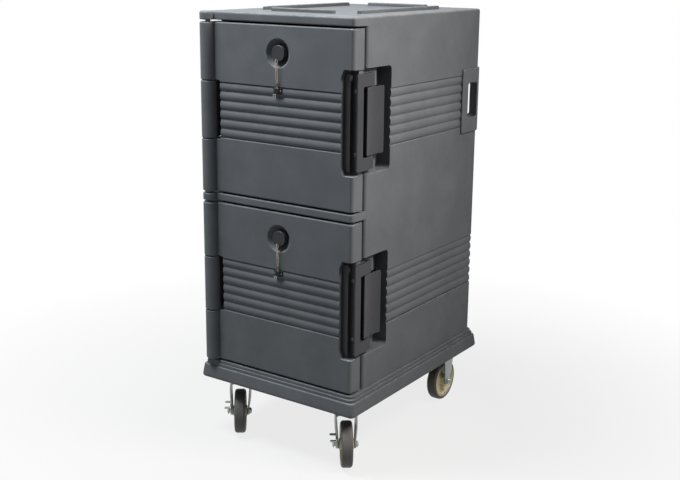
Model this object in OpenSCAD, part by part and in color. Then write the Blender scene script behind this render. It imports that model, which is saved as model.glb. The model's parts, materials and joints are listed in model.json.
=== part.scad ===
// Insulated food carrier: a moulded two-compartment cart on casters.
// Z is up, X runs to the right of someone facing the doors, Y runs to the back.
// The floor is at z = 0. Index 0 is the lower compartment, index 1 the upper one.

/* [Base plinth] */
// Width over the plinth
plinth_w = 528; // [500:1:580]
// Depth over the plinth
plinth_d = 698; // [680:1:760]
// Height of the flared skirt
skirt_h = 40; // [30:1:60]
// How far the skirt flares out towards its bottom
skirt_flare = 4; // [1:0.5:8]
// Radius of the plinth's upright corners
plinth_r = 12; // [11:0.5:20]
// Height of each of the two steps above the skirt
step_h = 9; // [5:0.5:14]
// How far each step is set in
step_in = 4; // [2:0.5:5]
// Radius of the steps' upright corners
step_r = 16; // [8:0.5:22]
// Thickness of the plinth's deck and skirt
plinth_wall = 8; // [6:0.5:12]
// How far the plinth stands out past the body's sides and back
plinth_out = 17; // [12:0.5:24]
// How far the plinth stands out past the door fronts
front_out = 13.5; // [8:0.5:20]

/* [Body] */
// Height of the lip over the upper door
top_lip_h = 23; // [16:0.5:40]
// Height of the lip between the doors
mid_lip_h = 21; // [16:0.5:40]
// Thickness of the outer skin
skin_t = 6; // [5:0.5:9]
// Insulated wall, outer face to compartment
wall_t = 58; // [50:1:70]
// Radius of the upright corners at the back
back_r = 20; // [12:1:35]
// Radius of the upright edges beside and above the doors
edge_r = 9; // [7:0.5:14]
// How far the left wall is set in behind the hinges
hinge_in = 15; // [12:0.5:20]
// Height of the stacking ridges on the top
ridge_h = 9.5; // [4:0.5:15]
// Width of the stacking ridges
ridge_w = 14; // [8:0.5:24]
// Distance between the left and the right ridge
ridge_span_x = 310; // [240:1:340]
// Distance between the front and the back ridge
ridge_span_y = 470; // [380:1:500]
// Length of the side ridges
ridge_len_y = 400; // [250:1:440]
// Length of the front and back ridges
ridge_len_x = 200; // [120:1:270]

/* [Ribs] */
// Number of ribs in a band
rib_count = 6; // [4:1:6]
// Height of one rib
rib_pitch = 25.2; // [18:0.2:26]
// Depth of the valleys between the ribs
rib_depth = 4; // [2:0.25:4]
// Length of the rib band ahead of the door's middle, on the left wall
left_rib_start = 80; // [40:1:120]

/* [Compartments] */
// Height of a compartment inside
chamber_h = 410; // [360:1:430]
// Thickness of the liner
liner_t = 4; // [3:0.5:6]
// Number of pan rails on each side
rail_count = 5; // [3:1:6]
// Distance from one rail to the next
rail_pitch = 68; // [50:1:70]
// Height of the lowest rail above the chamber floor
rail_first = 50; // [30:1:60]
// How far a rail stands out
rail_out = 12; // [6:0.5:16]
// Thickness of a rail
rail_t = 10; // [6:0.5:14]
// Distance from the chamber's mouth to the rails, and from the rails to its back
rail_inset = 24; // [10:1:40]

/* [Doors] */
// Height of a door
door_h = 460; // [440:1:500]
// Thickness of a door
door_t = 47; // [42:0.5:56]
// Gap above and below a door
door_gap = 5; // [3:0.5:8]
// Wall thickness of the door's shell and inner panel
door_skin = 4; // [3:0.5:5]
// Height of ribs, latch and handles above the door's bottom edge
feature_up = 226; // [215:1:240]
// Gap between door and body that the gasket fills
gasket_gap = 11; // [8:0.5:14]
// Width of the gasket
gasket_w = 16; // [10:0.5:24]
// How far the gasket lies outside the chamber's mouth at the sides
gasket_out = 6; // [3:0.5:8]
// How far the gasket stays inside the door's top and bottom edges
gasket_in = 3; // [1:0.5:8]
// Gap left under the gasket's lip
gasket_clear = 0.3; // [0.2:0.1:0.5]

/* [Hinges] */
// Outer radius of the hinge lugs and knuckles
hinge_r = 22; // [18:0.5:26]
// Radius of the hinge pins
pin_r = 7; // [5:0.25:9]
// Running clearance of pins in their bores, on the radius
pin_clear = 0.06; // [0.02:0.01:0.1]
// Height of the body's centre knuckle
knuckle_h = 151; // [120:1:180]
// Gap between knuckles
knuckle_gap = 4.5; // [2:0.5:8]
// Distance from the hinge axis to the door panel's edge
leaf_reach = 27.5; // [26:0.5:34]
// Distance from the hinge axis to the door's edge beside the centre knuckle
notch_reach = 38.5; // [36:0.5:46]

/* [Latches] */
// Height of the latch recess in the door
latch_recess_h = 266; // [240:1:290]
// Width of the latch recess across the door's front
latch_recess_w = 38; // [30:0.5:50]
// Depth of the latch's front flange below the door's front
flange_depth = 12; // [8:0.5:16]
// Width of the groove between the latch's front flange and its side plate
groove_w = 14; // [8:0.5:18]
// Depth of that groove from the door's front
groove_depth = 28; // [20:0.5:32]
// Height of the latch's base
latch_h = 246; // [220:1:260]
// Height of each of the base's arms
arm_h = 33; // [20:0.5:40]
// Thickness of the base's flanges and arms
arm_t = 8; // [6:0.5:9]
// Height of the paddle
paddle_h = 174; // [140:1:176]
// Width of the paddle ahead of its pin
paddle_front = 30.5; // [24:0.5:32]
// Width of the paddle behind its pin
paddle_back = 46.5; // [40:0.5:52]
// Thickness of the paddle
paddle_t = 7; // [5:0.5:8]
// Radius of the barrels round the paddle's pin
barrel_r = 8; // [7:0.25:9]
// Radius of the paddle's pin
latch_pin_r = 4; // [3:0.25:5]
// Depth of the body's recess behind the paddle
pocket_depth = 42; // [38:0.5:46]
// Length of the body's recess behind the paddle
pocket_len = 116; // [106:1:126]
// Height of the body's recess behind the paddle
pocket_h = 270; // [260:1:290]
// Radius of the recess's rear corners
pocket_r = 12; // [6:0.5:18]
// How far the keeper post stays below the body's side
post_below = 14; // [13:0.5:18]
// Width of the keeper post
post_w = 32; // [24:0.5:36]

/* [Handles] */
// How far the handle pads stand out
pad_t = 5; // [3:0.5:8]
// Height of the handle pads
pad_h = 186; // [150:1:200]
// Length of a pad along each wall
pad_len = 110; // [90:1:115]
// Height of the grip slot
slot_h = 104; // [80:1:130]
// Far edge of the slot, from the corner
slot_far = 72; // [64:1:80]
// Near edge of the slot on the side, from the corner
slot_near = 21; // [16:0.5:26]
// Near edge of the slot on the back, from the corner
slot_near_back = 28; // [20:0.5:32]

/* [Vents] */
// Height of the vent above the door's bottom edge
vent_up = 388; // [370:1:400]
// Radius of the dish round the vent plug
dish_r = 38; // [32:0.5:44]
// Depth of the dish's bowl
bowl_depth = 21; // [16:0.5:23]
// Depth of the flat seat in the dish
seat_depth = 22; // [18:0.5:24]
// Radius of the plug's cap
cap_r = 21; // [18:0.5:24]
// Radius of the plug's stem
stem_r = 9; // [6:0.25:11]
// Wall of the vent seat's tube
seat_wall = 4; // [2:0.5:6]
// Gap between the plug and its seat
plug_clear = 0.3; // [0.2:0.05:0.5]
// Height of the tether's clip above the door's bottom edge
clip_up = 292; // [280:1:298]
// Width of the tether's clip
clip_w = 27; // [16:0.5:32]
// Height of the tether's clip
clip_h = 16; // [10:0.5:18]
// How far the tether's clip stands out
clip_t = 7; // [5:0.5:12]
// Diameter of the tether
tether_d = 2.4; // [1.6:0.1:3]

/* [Casters] */
// Height of a caster, floor to plinth
caster_h = 167.5; // [160:0.5:180]
// Radius of the wheels
wheel_r = 63.5; // [60:0.5:66]
// Width of the tread
tread_w = 32; // [28:0.5:34]
// Thickness of the tread
tread_t = 15; // [8:0.5:18]
// Length of a wheel's hub
hub_w = 40; // [37:0.5:44]
// Radius of a wheel's hub
hub_r = 16; // [13:0.5:20]
// Radius of the axles
axle_r = 6; // [5:0.25:7]
// Wall of the bearing sleeve in a hub
sleeve_t = 2.5; // [1.5:0.25:4]
// Gap between a hub and the fork's legs
hub_gap = 1; // [0.5:0.25:2]
// Thickness of the fork's sheet
fork_t = 4; // [3:0.5:5]
// Half width of a fork's leg at the axle
leg_end_r = 14; // [12:0.5:18]
// Trail of the swivel casters
trail = 36; // [25:1:42]
// Way the swivel casters point, from straight ahead to the right
heading = 37.5; // [0:0.5:45]
// Distance from the cart's middle to the casters, sideways
caster_x = 187; // [170:1:195]
// Distance from the cart's middle to the casters, lengthways
caster_y = 265; // [240:1:280]
// Width of a caster's plate
plate_w = 92; // [84:1:100]
// Length of a caster's plate
plate_l = 112; // [104:1:124]
// Thickness of a caster's plate
plate_t = 4; // [3:0.5:6]
// Hole to hole distance across a plate
bolt_x = 72; // [66:1:76]
// Hole to hole distance along a plate
bolt_y = 90; // [84:1:96]
// Radius of the plate's bolts
bolt_r = 4; // [3:0.25:5]
// Radius of the king pins
king_r = 7; // [5:0.25:9]
// Radius of the swivel race
race_r = 27; // [22:0.5:32]
// Height of the swivel race
race_h = 9.7; // [8:0.1:12]

/* [Hidden] */

$fn = 48;
// Overlap of solids that are joined, and run-out of cuts past a face
eps = 1;

charcoal = [0.29, 0.30, 0.31];
black = [0.08, 0.08, 0.09];
foam_yellow = [0.85, 0.78, 0.55];
rubber_grey = [0.25, 0.25, 0.26];
zinc = [0.72, 0.73, 0.74];
tan_nylon = [0.66, 0.60, 0.46];

// Plan of the cart
half_w = plinth_w / 2;
half_d = plinth_d / 2;
x_right = half_w - plinth_out;
x_outer_left = -half_w + plinth_out;
x_left = x_outer_left + hinge_in;
x_mid = (x_left + x_right) / 2;
y_back = half_d - plinth_out;
y_front = -half_d + front_out;
y_door_back = y_front + door_t;
y_face = y_door_back + gasket_gap;
axis_x = x_outer_left + hinge_r;
axis_y = y_front;

// Levels
z_base = caster_h;
z_skirt = z_base + skirt_h;
z_deck = z_skirt + 2 * step_h;
pitch = door_h + mid_lip_h + 2 * door_gap;
z_door = [z_deck + door_gap, z_deck + door_gap + pitch];
z_mid = z_door[0] + door_h + door_gap;
z_lip = z_door[1] + door_h + door_gap;
z_top = z_lip + top_lip_h;
function z_feature(i) = z_door[i] + feature_up;

// Hinge pins share the mid lip, each with its own blind end
pin_sink = mid_lip_h / 2 - 1;
pin_z = [
    [z_deck - 2 * step_h + plinth_wall, z_mid + pin_sink],
    [z_mid + mid_lip_h - pin_sink, z_top - skin_t]
];
web_half = 9;
lug_in = 1;

// Compartments
chamber_x = [x_left + wall_t, x_right - wall_t];
chamber_y = [y_face, y_back - wall_t];
function chamber_z(i) = [
    z_door[i] + (door_h - chamber_h) / 2,
    z_door[i] + (door_h + chamber_h) / 2
];

// Ribs: circular arcs whose crests lie in the wall's face
band_h = rib_count * rib_pitch;
rib_r = (pow(rib_pitch / 2, 2) + pow(rib_depth, 2)) / (2 * rib_depth);
valley_flat = 0.3;

// Latch plan
latch_x = x_right - barrel_r / 2;
latch_y = y_face + paddle_front - eps;
spine_back = y_door_back - 9;
side_seat = x_right - arm_t / 2;
flange_t = 5;
groove_t = 4;
groove_x = side_seat - groove_w;
flange_back = y_front + flange_depth + flange_t;
groove_back = y_front + groove_depth;
pocket_back = y_face + pocket_len;
post_back = latch_y + paddle_back - 4.5;
post_front = post_back - post_w;
post_face = x_right - post_below;
post_bevel = 8;
catch_w = 5;
catch_reach = 7.5;
recess_chamfer = [8, 20];
screw_r = 3;
screw_head_r = 5.5;
screw_head_h = 2.5;
screw_spread = 80;

// Vent plan
vent_x = (axis_x + x_right) / 2;
bowl_r = (pow(dish_r, 2) + pow(bowl_depth, 2)) / (2 * bowl_depth);
seat_r = cap_r + 2;
panel_y = y_door_back - door_skin;
eyelet_r = 2.5;
eyelet_up = cap_r - 4;
eyelet_out = 4;

// Caster levels
race_z = caster_h - plate_t - race_h;
race_gap = 0.5;
crown_t = 7;
disc_z = race_z - race_gap - crown_t;
crown_z = disc_z - fork_t - 3;
leg_x = hub_w / 2 + hub_gap;
leg_top_half = 30;
nut_h = 8;
nut_r = 9.5;
stub_len = 9;
brake_t = 3;
brake_tab = 16;
head_h = 5.5;
bolt_head_r = 7.2;
bolt_grip = 22;

// Moves the cart so that its outline is centred on the origin
y_outline = [axis_y - hinge_r, half_d];
module place() {
    translate([0, -(y_outline[0] + y_outline[1]) / 2, 0])
        children();
}

// A box from its limits along X, Y and Z
module block(x, y, z) {
    translate([x[0], y[0], z[0]])
        cube([x[1] - x[0], y[1] - y[0], z[1] - z[0]]);
}

// A prism along X whose outline is drawn in Y and Z
module along_x(x) {
    translate([x[0], 0, 0])
        rotate([90, 0, 90])
            linear_extrude(x[1] - x[0])
                children();
}

// A prism along Y whose outline is drawn in X and Z
module along_y(y) {
    translate([0, y[1], 0])
        rotate([90, 0, 0])
            linear_extrude(y[1] - y[0])
                children();
}

// A prism along Z whose outline is drawn in plan
module along_z(z) {
    translate([0, 0, z[0]])
        linear_extrude(z[1] - z[0])
            children();
}

// A rectangle with one radius at its lower corners and one at its upper corners
module soft_rect(x, y, r_low, r_high) {
    translate([x[0], y[0] + r_low])
        square([x[1] - x[0], y[1] - y[0] - r_low - r_high]);
    translate([x[0] + r_low, y[0]])
        square([x[1] - x[0] - 2 * r_low, r_low + eps]);
    translate([x[0] + r_high, y[1] - r_high - eps])
        square([x[1] - x[0] - 2 * r_high, r_high + eps]);
    for (cx = [x[0] + r_low, x[1] - r_low])
        translate([cx, y[0] + r_low])
            circle(r_low);
    for (cx = [x[0] + r_high, x[1] - r_high])
        translate([cx, y[1] - r_high])
            circle(r_high);
}

// Section of the cut that leaves a band of ribs, depth along X and height along Y
module rib_cut() {
    difference() {
        translate([-eps, -band_h / 2])
            square([rib_depth - valley_flat + eps, band_h]);
        for (k = [0 : rib_count - 1])
            translate([rib_r, (k + 0.5) * rib_pitch - band_h / 2])
                circle(rib_r, $fn = 96);
    }
}

// Rib bands, cut along a wall from one place to another
module ribs_right(y, z) {
    translate([x_right, y[1], z])
        rotate([90, 0, 0])
            linear_extrude(y[1] - y[0])
                mirror([1, 0])
                    rib_cut();
}
module ribs_left(y, z) {
    translate([x_left, y[1], z])
        rotate([90, 0, 0])
            linear_extrude(y[1] - y[0])
                rib_cut();
}
module ribs_back(x, z) {
    translate([x[0], y_back, z])
        rotate([90, 0, 90])
            linear_extrude(x[1] - x[0])
                mirror([1, 0])
                    rib_cut();
}
module ribs_front(x, z) {
    translate([x[0], y_front, z])
        rotate([90, 0, 90])
            linear_extrude(x[1] - x[0])
                rib_cut();
}
module ribs_corner(side, z) {
    corner_x = side > 0 ? x_right - back_r : x_left + back_r;
    translate([corner_x, y_back - back_r, z])
        rotate([0, 0, side > 0 ? 0 : 90])
            rotate_extrude(angle = 90)
                translate([back_r, 0])
                    mirror([1, 0])
                        rib_cut();
}

// Plan of the body inside its lips
module body_plan(inset) {
    soft_rect([x_left + inset, x_right - inset], [y_face + inset, y_back - inset],
        max(edge_r - inset, 1), max(back_r - inset, 1));
}

// A lip over the doors, with its hinge lug
module lip(z) {
    along_z(z)
        soft_rect([x_left, x_right], [y_front, y_face + skin_t], edge_r, 1);
    translate([axis_x, axis_y, z[0]])
        cylinder(r = hinge_r, h = z[1] - z[0]);
    block([axis_x - web_half, axis_x + hinge_r], [axis_y, y_face + skin_t], z);
}

// Wedge at a back corner that holds the handle
module handle_wedge(side, wall) {
    reach = slot_far + wall;
    mirror([side > 0 ? 0 : 1, 0])
        translate([side > 0 ? x_right : -x_left, y_back])
            polygon([[0, -reach], [0, 0], [-reach, 0]]);
}

// Way of the fingers behind the corner bar
module handle_way(side) {
    run = 20;
    mirror([side > 0 ? 0 : 1, 0])
        translate([side > 0 ? x_right : -x_left, y_back])
            polygon([
                [run, -slot_far - run], [run, -slot_near - run * slot_near / slot_near_back],
                [-slot_near_back - run * slot_near_back / slot_near, run], [-slot_far - run, run]
            ]);
}

// Raised pad round a back corner
module handle_pad(side) {
    x = side > 0 ? [x_right - pad_len, x_right + pad_t] : [x_left - pad_t, x_left + pad_len];
    intersection() {
        soft_rect([x_left - pad_t, x_right + pad_t], [y_face, y_back + pad_t], 1, back_r + pad_t);
        translate([x[0], y_back - pad_len])
            square([x[1] - x[0], pad_len + pad_t]);
        difference() {
            translate([x_left - pad_t, y_face])
                square([x_right - x_left + 2 * pad_t, y_back + pad_t - y_face]);
            translate([x_left + eps, y_face])
                square([x_right - x_left - 2 * eps, y_back - eps - y_face]);
        }
    }
}

// Space of the foam: inside the skin, clear of latch pockets and handles
module body_cavity() {
    difference() {
        along_z([z_deck + skin_t, z_top - skin_t])
            body_plan(skin_t);
        for (i = [0, 1])
            block([x_right - pocket_depth - skin_t, x_right], [y_face, pocket_back + skin_t],
                [z_feature(i) - pocket_h / 2 - skin_t, z_feature(i) + pocket_h / 2 + skin_t]);
        for (side = [-1, 1])
            along_z([z_feature(1) - pad_h / 2, z_feature(1) + pad_h / 2])
                handle_wedge(side, skin_t);
    }
}

// Outer form of a compartment's liner, with a run-out at its mouth
module liner_outer(i, run = 0) {
    block([chamber_x[0] - liner_t, chamber_x[1] + liner_t], [y_face - run, chamber_y[1] + liner_t],
        [chamber_z(i)[0] - liner_t, chamber_z(i)[1] + liner_t]);
}

module latch_pocket(i) {
    along_x([x_right - pocket_depth, x_right + eps])
        translate([0, z_feature(i)])
            rotate(-90)
                soft_rect([-pocket_h / 2, pocket_h / 2], [y_face - eps, pocket_back], 0.5, pocket_r);
}

// Post that the latch's catch draws against, its rear edge bevelled
module keeper_post(i) {
    floor_x = x_right - pocket_depth;
    along_z([z_feature(i) - pocket_h / 2 - eps, z_feature(i) + pocket_h / 2 + eps])
        polygon([
            [floor_x - eps, post_front], [post_face, post_front], [post_face, post_back - post_bevel],
            [post_face - post_bevel / 2, post_back], [floor_x - eps, post_back]
        ]);
}

module body_shell() {
    left_ribs = [y_face + left_rib_start, y_back - pad_len];
    color(charcoal) place() difference() {
        union() {
            difference() {
                union() {
                    along_z([z_deck, z_top])
                        body_plan(0);
                    lip([z_lip, z_top]);
                    lip([z_mid, z_mid + mid_lip_h]);
                }
                body_cavity();
                for (i = [0, 1])
                    latch_pocket(i);
                // Lower band runs round the back corners, upper band stops at the handles
                ribs_right([pocket_back - eps, y_back - back_r], z_feature(0));
                ribs_left([left_ribs[0], y_back - back_r], z_feature(0));
                ribs_back([x_left + back_r, x_right - back_r], z_feature(0));
                for (side = [-1, 1])
                    ribs_corner(side, z_feature(0));
                ribs_right([pocket_back - eps, left_ribs[1]], z_feature(1));
                ribs_left(left_ribs, z_feature(1));
                ribs_back([x_left + pad_len, x_right - pad_len], z_feature(1));
            }
            for (i = [0, 1]) {
                keeper_post(i);
                translate([axis_x, axis_y, z_feature(i) - knuckle_h / 2])
                    cylinder(r = hinge_r, h = knuckle_h);
                block([axis_x - web_half, axis_x + web_half], [axis_y, y_face + skin_t],
                    [z_feature(i) - knuckle_h / 2, z_feature(i) + knuckle_h / 2]);
            }
            for (side = [-1, 1])
                along_z([z_feature(1) - pad_h / 2, z_feature(1) + pad_h / 2])
                    handle_pad(side);
            stacking_ridges();
        }
        for (side = [-1, 1])
            along_z([z_feature(1) - slot_h / 2, z_feature(1) + slot_h / 2])
                handle_way(side);
        for (i = [0, 1]) {
            liner_outer(i, eps);
            translate([axis_x, axis_y, pin_z[i][0]])
                cylinder(r = pin_r, h = pin_z[i][1] - pin_z[i][0]);
        }
    }
}

module stacking_ridges() {
    z = [z_top - eps, z_top + ridge_h];
    mid_y = (y_front + y_back) / 2 + front_out;
    for (sx = [-1, 1])
        translate([x_mid + sx * ridge_span_x / 2, mid_y, 0])
            block([-ridge_w / 2, ridge_w / 2], [-ridge_len_y / 2, ridge_len_y / 2], z);
    for (sy = [-1, 1])
        translate([x_mid, mid_y + sy * ridge_span_y / 2, 0])
            block([-ridge_len_x / 2, ridge_len_x / 2], [-ridge_w / 2, ridge_w / 2], z);
}

module body_foam() {
    color(foam_yellow) place() difference() {
        body_cavity();
        for (i = [0, 1])
            liner_outer(i);
    }
}

module liner(i) {
    color(charcoal) place() {
        difference() {
            liner_outer(i);
            block(chamber_x, [y_face - eps, chamber_y[1]], chamber_z(i));
        }
        for (k = [0 : rail_count - 1]) {
            z = chamber_z(i)[0] + rail_first + k * rail_pitch;
            y = [chamber_y[0] + rail_inset, chamber_y[1] - rail_inset];
            block([chamber_x[0] - eps, chamber_x[0] + rail_out], y, [z, z + rail_t]);
            block([chamber_x[1] - rail_out, chamber_x[1] + eps], y, [z, z + rail_t]);
        }
    }
}

module plinth_plan(inset, r) {
    soft_rect([-half_w + inset, half_w - inset], [-half_d + inset, half_d - inset], r, r);
}

// Places something at the four casters
module at_casters() {
    for (sx = [-1, 1], sy = [-1, 1])
        translate([sx * caster_x, sy * caster_y, 0])
            children();
}

// Places something at a plate's four bolts
module at_bolts() {
    for (sx = [-1, 1], sy = [-1, 1])
        translate([sx * bolt_x / 2, sy * bolt_y / 2, 0])
            children();
}

module base_plinth() {
    foot_h = 0.5;
    pad_extra = 6;
    color(charcoal) place() difference() {
        union() {
            hull() {
                along_z([z_base, z_base + foot_h])
                    plinth_plan(0, plinth_r, $fn = 32);
                along_z([z_skirt - foot_h, z_skirt])
                    plinth_plan(skirt_flare, plinth_r, $fn = 32);
            }
            along_z([z_skirt - eps, z_skirt + step_h])
                plinth_plan(skirt_flare + step_in, step_r);
            along_z([z_skirt + step_h - eps, z_deck])
                plinth_plan(skirt_flare + 2 * step_in, step_r);
            // The steps bulge under the hinge, as far as the skirt's top edge
            intersection() {
                translate([axis_x, axis_y, z_skirt - eps])
                    cylinder(r = hinge_r, h = 2 * step_h + eps);
                along_z([z_skirt - eps, z_deck])
                    plinth_plan(skirt_flare + lug_in, plinth_r);
            }
        }
        difference() {
            along_z([z_base - eps, z_deck - plinth_wall])
                plinth_plan(skirt_flare + 2 * step_in + plinth_wall, 2);
            at_casters()
                block([-plate_w / 2 - pad_extra, plate_w / 2 + pad_extra],
                    [-plate_l / 2 - pad_extra, plate_l / 2 + pad_extra], [z_base, z_deck]);
            translate([axis_x, axis_y, z_base])
                cylinder(r = hinge_r, h = skirt_h + 2 * step_h);
        }
        at_casters()
            at_bolts()
                translate([0, 0, z_base - eps])
                    cylinder(r = bolt_r, h = bolt_grip + eps);
        translate([axis_x, axis_y, pin_z[0][0]])
            cylinder(r = pin_r, h = pin_z[0][1] - pin_z[0][0]);
    }
}

module hinge_pin(i) {
    color(black) place()
        translate([axis_x, axis_y, pin_z[i][0]])
            cylinder(r = pin_r, h = pin_z[i][1] - pin_z[i][0]);
}

// Outer form of a door without its hinge
module door_block(i) {
    along_z([z_door[i], z_door[i] + door_h])
        soft_rect([axis_x + leaf_reach, x_right], [y_front, y_door_back], edge_r, 2);
}

// Recess at the door's free edge for the latch's base
module latch_recess(i, wall) {
    half = latch_recess_h / 2 + wall;
    left = x_right - latch_recess_w - wall;
    along_y([y_front - eps, flange_back + wall])
        translate([0, z_feature(i)])
            polygon([
                [x_right + eps, -half], [left + recess_chamfer[0], -half], [left, -half + recess_chamfer[1]],
                [left, half - recess_chamfer[1]], [left + recess_chamfer[0], half], [x_right + eps, half]
            ]);
    z = [z_feature(i) - half, z_feature(i) + half];
    block([groove_x - groove_t - wall, x_right + eps], [y_front - eps, groove_back + wall], z);
    block([side_seat - wall, x_right + eps], [y_front - eps, wall > 0 ? y_door_back : y_door_back + eps], z);
}

module at_vent(i) {
    translate([vent_x, y_front, z_door[i] + vent_up])
        rotate([-90, 0, 0])
            children();
}

module vent_dish(wall) {
    translate([0, 0, bowl_depth - bowl_r])
        sphere(bowl_r + wall, $fn = 96);
    translate([0, 0, -eps])
        cylinder(r = seat_r + wall, h = seat_depth + wall + eps);
}

module clip_boss(i) {
    block([vent_x - clip_w / 2, vent_x + clip_w / 2], [y_front, y_front + rib_depth + eps],
        [z_door[i] + clip_up - clip_h / 2, z_door[i] + clip_up + clip_h / 2]);
}

// Space of the door's foam
module door_cavity(i) {
    difference() {
        along_z([z_door[i] + door_skin, z_door[i] + door_h - door_skin])
            soft_rect([axis_x + leaf_reach + door_skin, x_right - door_skin],
                [y_front + rib_depth + door_skin, panel_y], edge_r - door_skin, 1);
        latch_recess(i, door_skin);
        at_vent(i)
            vent_dish(door_skin);
        at_vent(i)
            cylinder(r = stem_r + plug_clear + seat_wall, h = door_t);
        block([axis_x, axis_x + notch_reach + door_skin], [y_front, y_door_back],
            [z_feature(i) - knuckle_h / 2 - knuckle_gap - door_skin,
             z_feature(i) + knuckle_h / 2 + knuckle_gap + door_skin]);
    }
}

module door_shell(i) {
    knuckle_ends = [z_feature(i) - knuckle_h / 2 - knuckle_gap, z_feature(i) + knuckle_h / 2 + knuckle_gap];
    color(charcoal) place() difference() {
        union() {
            difference() {
                door_block(i);
                door_cavity(i);
                along_z([z_door[i] + door_skin, z_door[i] + door_h - door_skin])
                    soft_rect([axis_x + leaf_reach + door_skin, x_right - door_skin],
                        [panel_y - eps, y_door_back + eps], 1, 1);
                ribs_front([axis_x + leaf_reach - eps, x_right - latch_recess_w], z_feature(i));
            }
            intersection() {
                door_block(i);
                latch_back_wall(i);
            }
            clip_boss(i);
            for (z = [[z_door[i], knuckle_ends[0]], [knuckle_ends[1], z_door[i] + door_h]]) {
                translate([axis_x, axis_y, z[0]])
                    cylinder(r = hinge_r, h = z[1] - z[0]);
                block([axis_x, axis_x + leaf_reach + eps], [y_front, y_front + door_t - door_skin - eps], z);
                // Fills the door's rounded front corner beside the barrel
                block([axis_x, axis_x + leaf_reach + edge_r], [y_front, y_front + rib_depth + door_skin - eps], z);
            }
        }
        block([axis_x - hinge_r, axis_x + notch_reach], [y_front - eps, y_door_back + eps], knuckle_ends);
        translate([axis_x, axis_y, z_door[i] - eps])
            cylinder(r = pin_r + pin_clear, h = door_h + 2 * eps);
        latch_recess(i, 0);
        at_vent(i)
            vent_dish(0);
        at_vent(i)
            cylinder(r = stem_r + plug_clear + seat_wall, h = door_t + eps);
        at_screws(i)
            cylinder(r = screw_r, h = door_skin);
    }
}

// Wall of the latch recess towards the panel
module latch_back_wall(i) {
    block([side_seat - door_skin, x_right], [panel_y - 2 * eps, y_door_back],
        [z_feature(i) - latch_recess_h / 2 - door_skin, z_feature(i) + latch_recess_h / 2 + door_skin]);
}

module door_foam(i) {
    color(foam_yellow) place()
        door_cavity(i);
}

module door_panel(i) {
    color(charcoal) place() difference() {
        along_z([z_door[i] + door_skin, z_door[i] + door_h - door_skin])
            soft_rect([axis_x + leaf_reach + door_skin, x_right - door_skin], [panel_y, y_door_back], 1, 1);
        block([axis_x, axis_x + notch_reach], [panel_y - eps, y_door_back + eps],
            [z_feature(i) - knuckle_h / 2 - knuckle_gap, z_feature(i) + knuckle_h / 2 + knuckle_gap]);
        latch_back_wall(i);
        at_vent(i)
            cylinder(r = stem_r + plug_clear + seat_wall, h = door_t + eps);
    }
}

module gasket(i) {
    x = [chamber_x[0] - gasket_out - gasket_w, chamber_x[1] + gasket_out + gasket_w];
    z = [z_door[i] + gasket_in, z_door[i] + door_h - gasket_in];
    color(black) place()
        along_y([y_door_back, y_face - gasket_clear])
            difference() {
                soft_rect(x, z, edge_r, edge_r);
                translate([x[0] + gasket_w, z[0] + gasket_w])
                    square([x[1] - x[0] - 2 * gasket_w, z[1] - z[0] - 2 * gasket_w]);
            }
}

// Tube that lines the vent through the door
module vent_seat(i) {
    color(black) place()
        at_vent(i)
            translate([0, 0, seat_depth])
                difference() {
                    cylinder(r = stem_r + plug_clear + seat_wall, h = door_t - seat_depth);
                    translate([0, 0, -eps])
                        cylinder(r = stem_r + plug_clear, h = door_t);
                }
}

// Cap with a stem, and an eyelet for the tether low on its face
module vent_plug(i) {
    stem_len = door_t - seat_depth - 4;
    color(black) place() {
        at_vent(i) {
            cylinder(r = cap_r, h = seat_depth - plug_clear);
            cylinder(r = stem_r, h = seat_depth + stem_len);
        }
        at_vent(i)
            translate([0, eyelet_up, -eyelet_out])
                cylinder(r = eyelet_r, h = eyelet_out + eps);
    }
}

module tether_clip(i) {
    color(black) place() difference() {
        block([vent_x - clip_w / 2, vent_x + clip_w / 2], [y_front - clip_t, y_front],
            [z_door[i] + clip_up - clip_h / 2, z_door[i] + clip_up + clip_h / 2]);
        translate([vent_x, y_front - clip_t / 2, z_door[i] + clip_up])
            cylinder(r = tether_d / 2, h = clip_h);
    }
}

// Points of the tether from the plug's eyelet to the clip, offsets from the vent in the door's plane
tether_run = [
    [0, -3, -19.5], [0.5, -3.6, -26], [1.5, -4.4, -34], [2, -5, -44], [2, -5, -56],
    [1.5, -4.6, -68], [0.5, -4, -78], [0, -3.5, -84], [0, -3.5, -90]
];

// One closed tube through a list of points, seen along Z as it runs down
module tube(points, d, sides) {
    count = len(points);
    rings = [for (p = points, k = [0 : sides - 1])
        p + d / 2 * [cos(360 * k / sides), sin(360 * k / sides), 0]];
    sides_faces = [for (n = [0 : count - 2], k = [0 : sides - 1], half = [0, 1])
        let (a = n * sides + k, b = n * sides + (k + 1) % sides)
        half == 0 ? [a, b, b + sides] : [a, b + sides, a + sides]];
    top_faces = [for (k = [1 : sides - 2]) [0, k + 1, k]];
    last = (count - 1) * sides;
    bottom_faces = [for (k = [1 : sides - 2]) [last, last + k, last + k + 1]];
    polyhedron(points = rings, faces = concat(sides_faces, top_faces, bottom_faces));
}

module tether(i) {
    color(zinc) place()
        translate([vent_x, y_front, z_door[i] + vent_up])
            tube(tether_run, tether_d, 8);
}

// Places something at the latch's screws, at the back of its groove
module at_screws(i) {
    for (s = [-1, 1])
        translate([(groove_x + side_seat) / 2, groove_back, z_feature(i) + s * screw_spread])
            rotate([-90, 0, 0])
                children();
}

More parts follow.
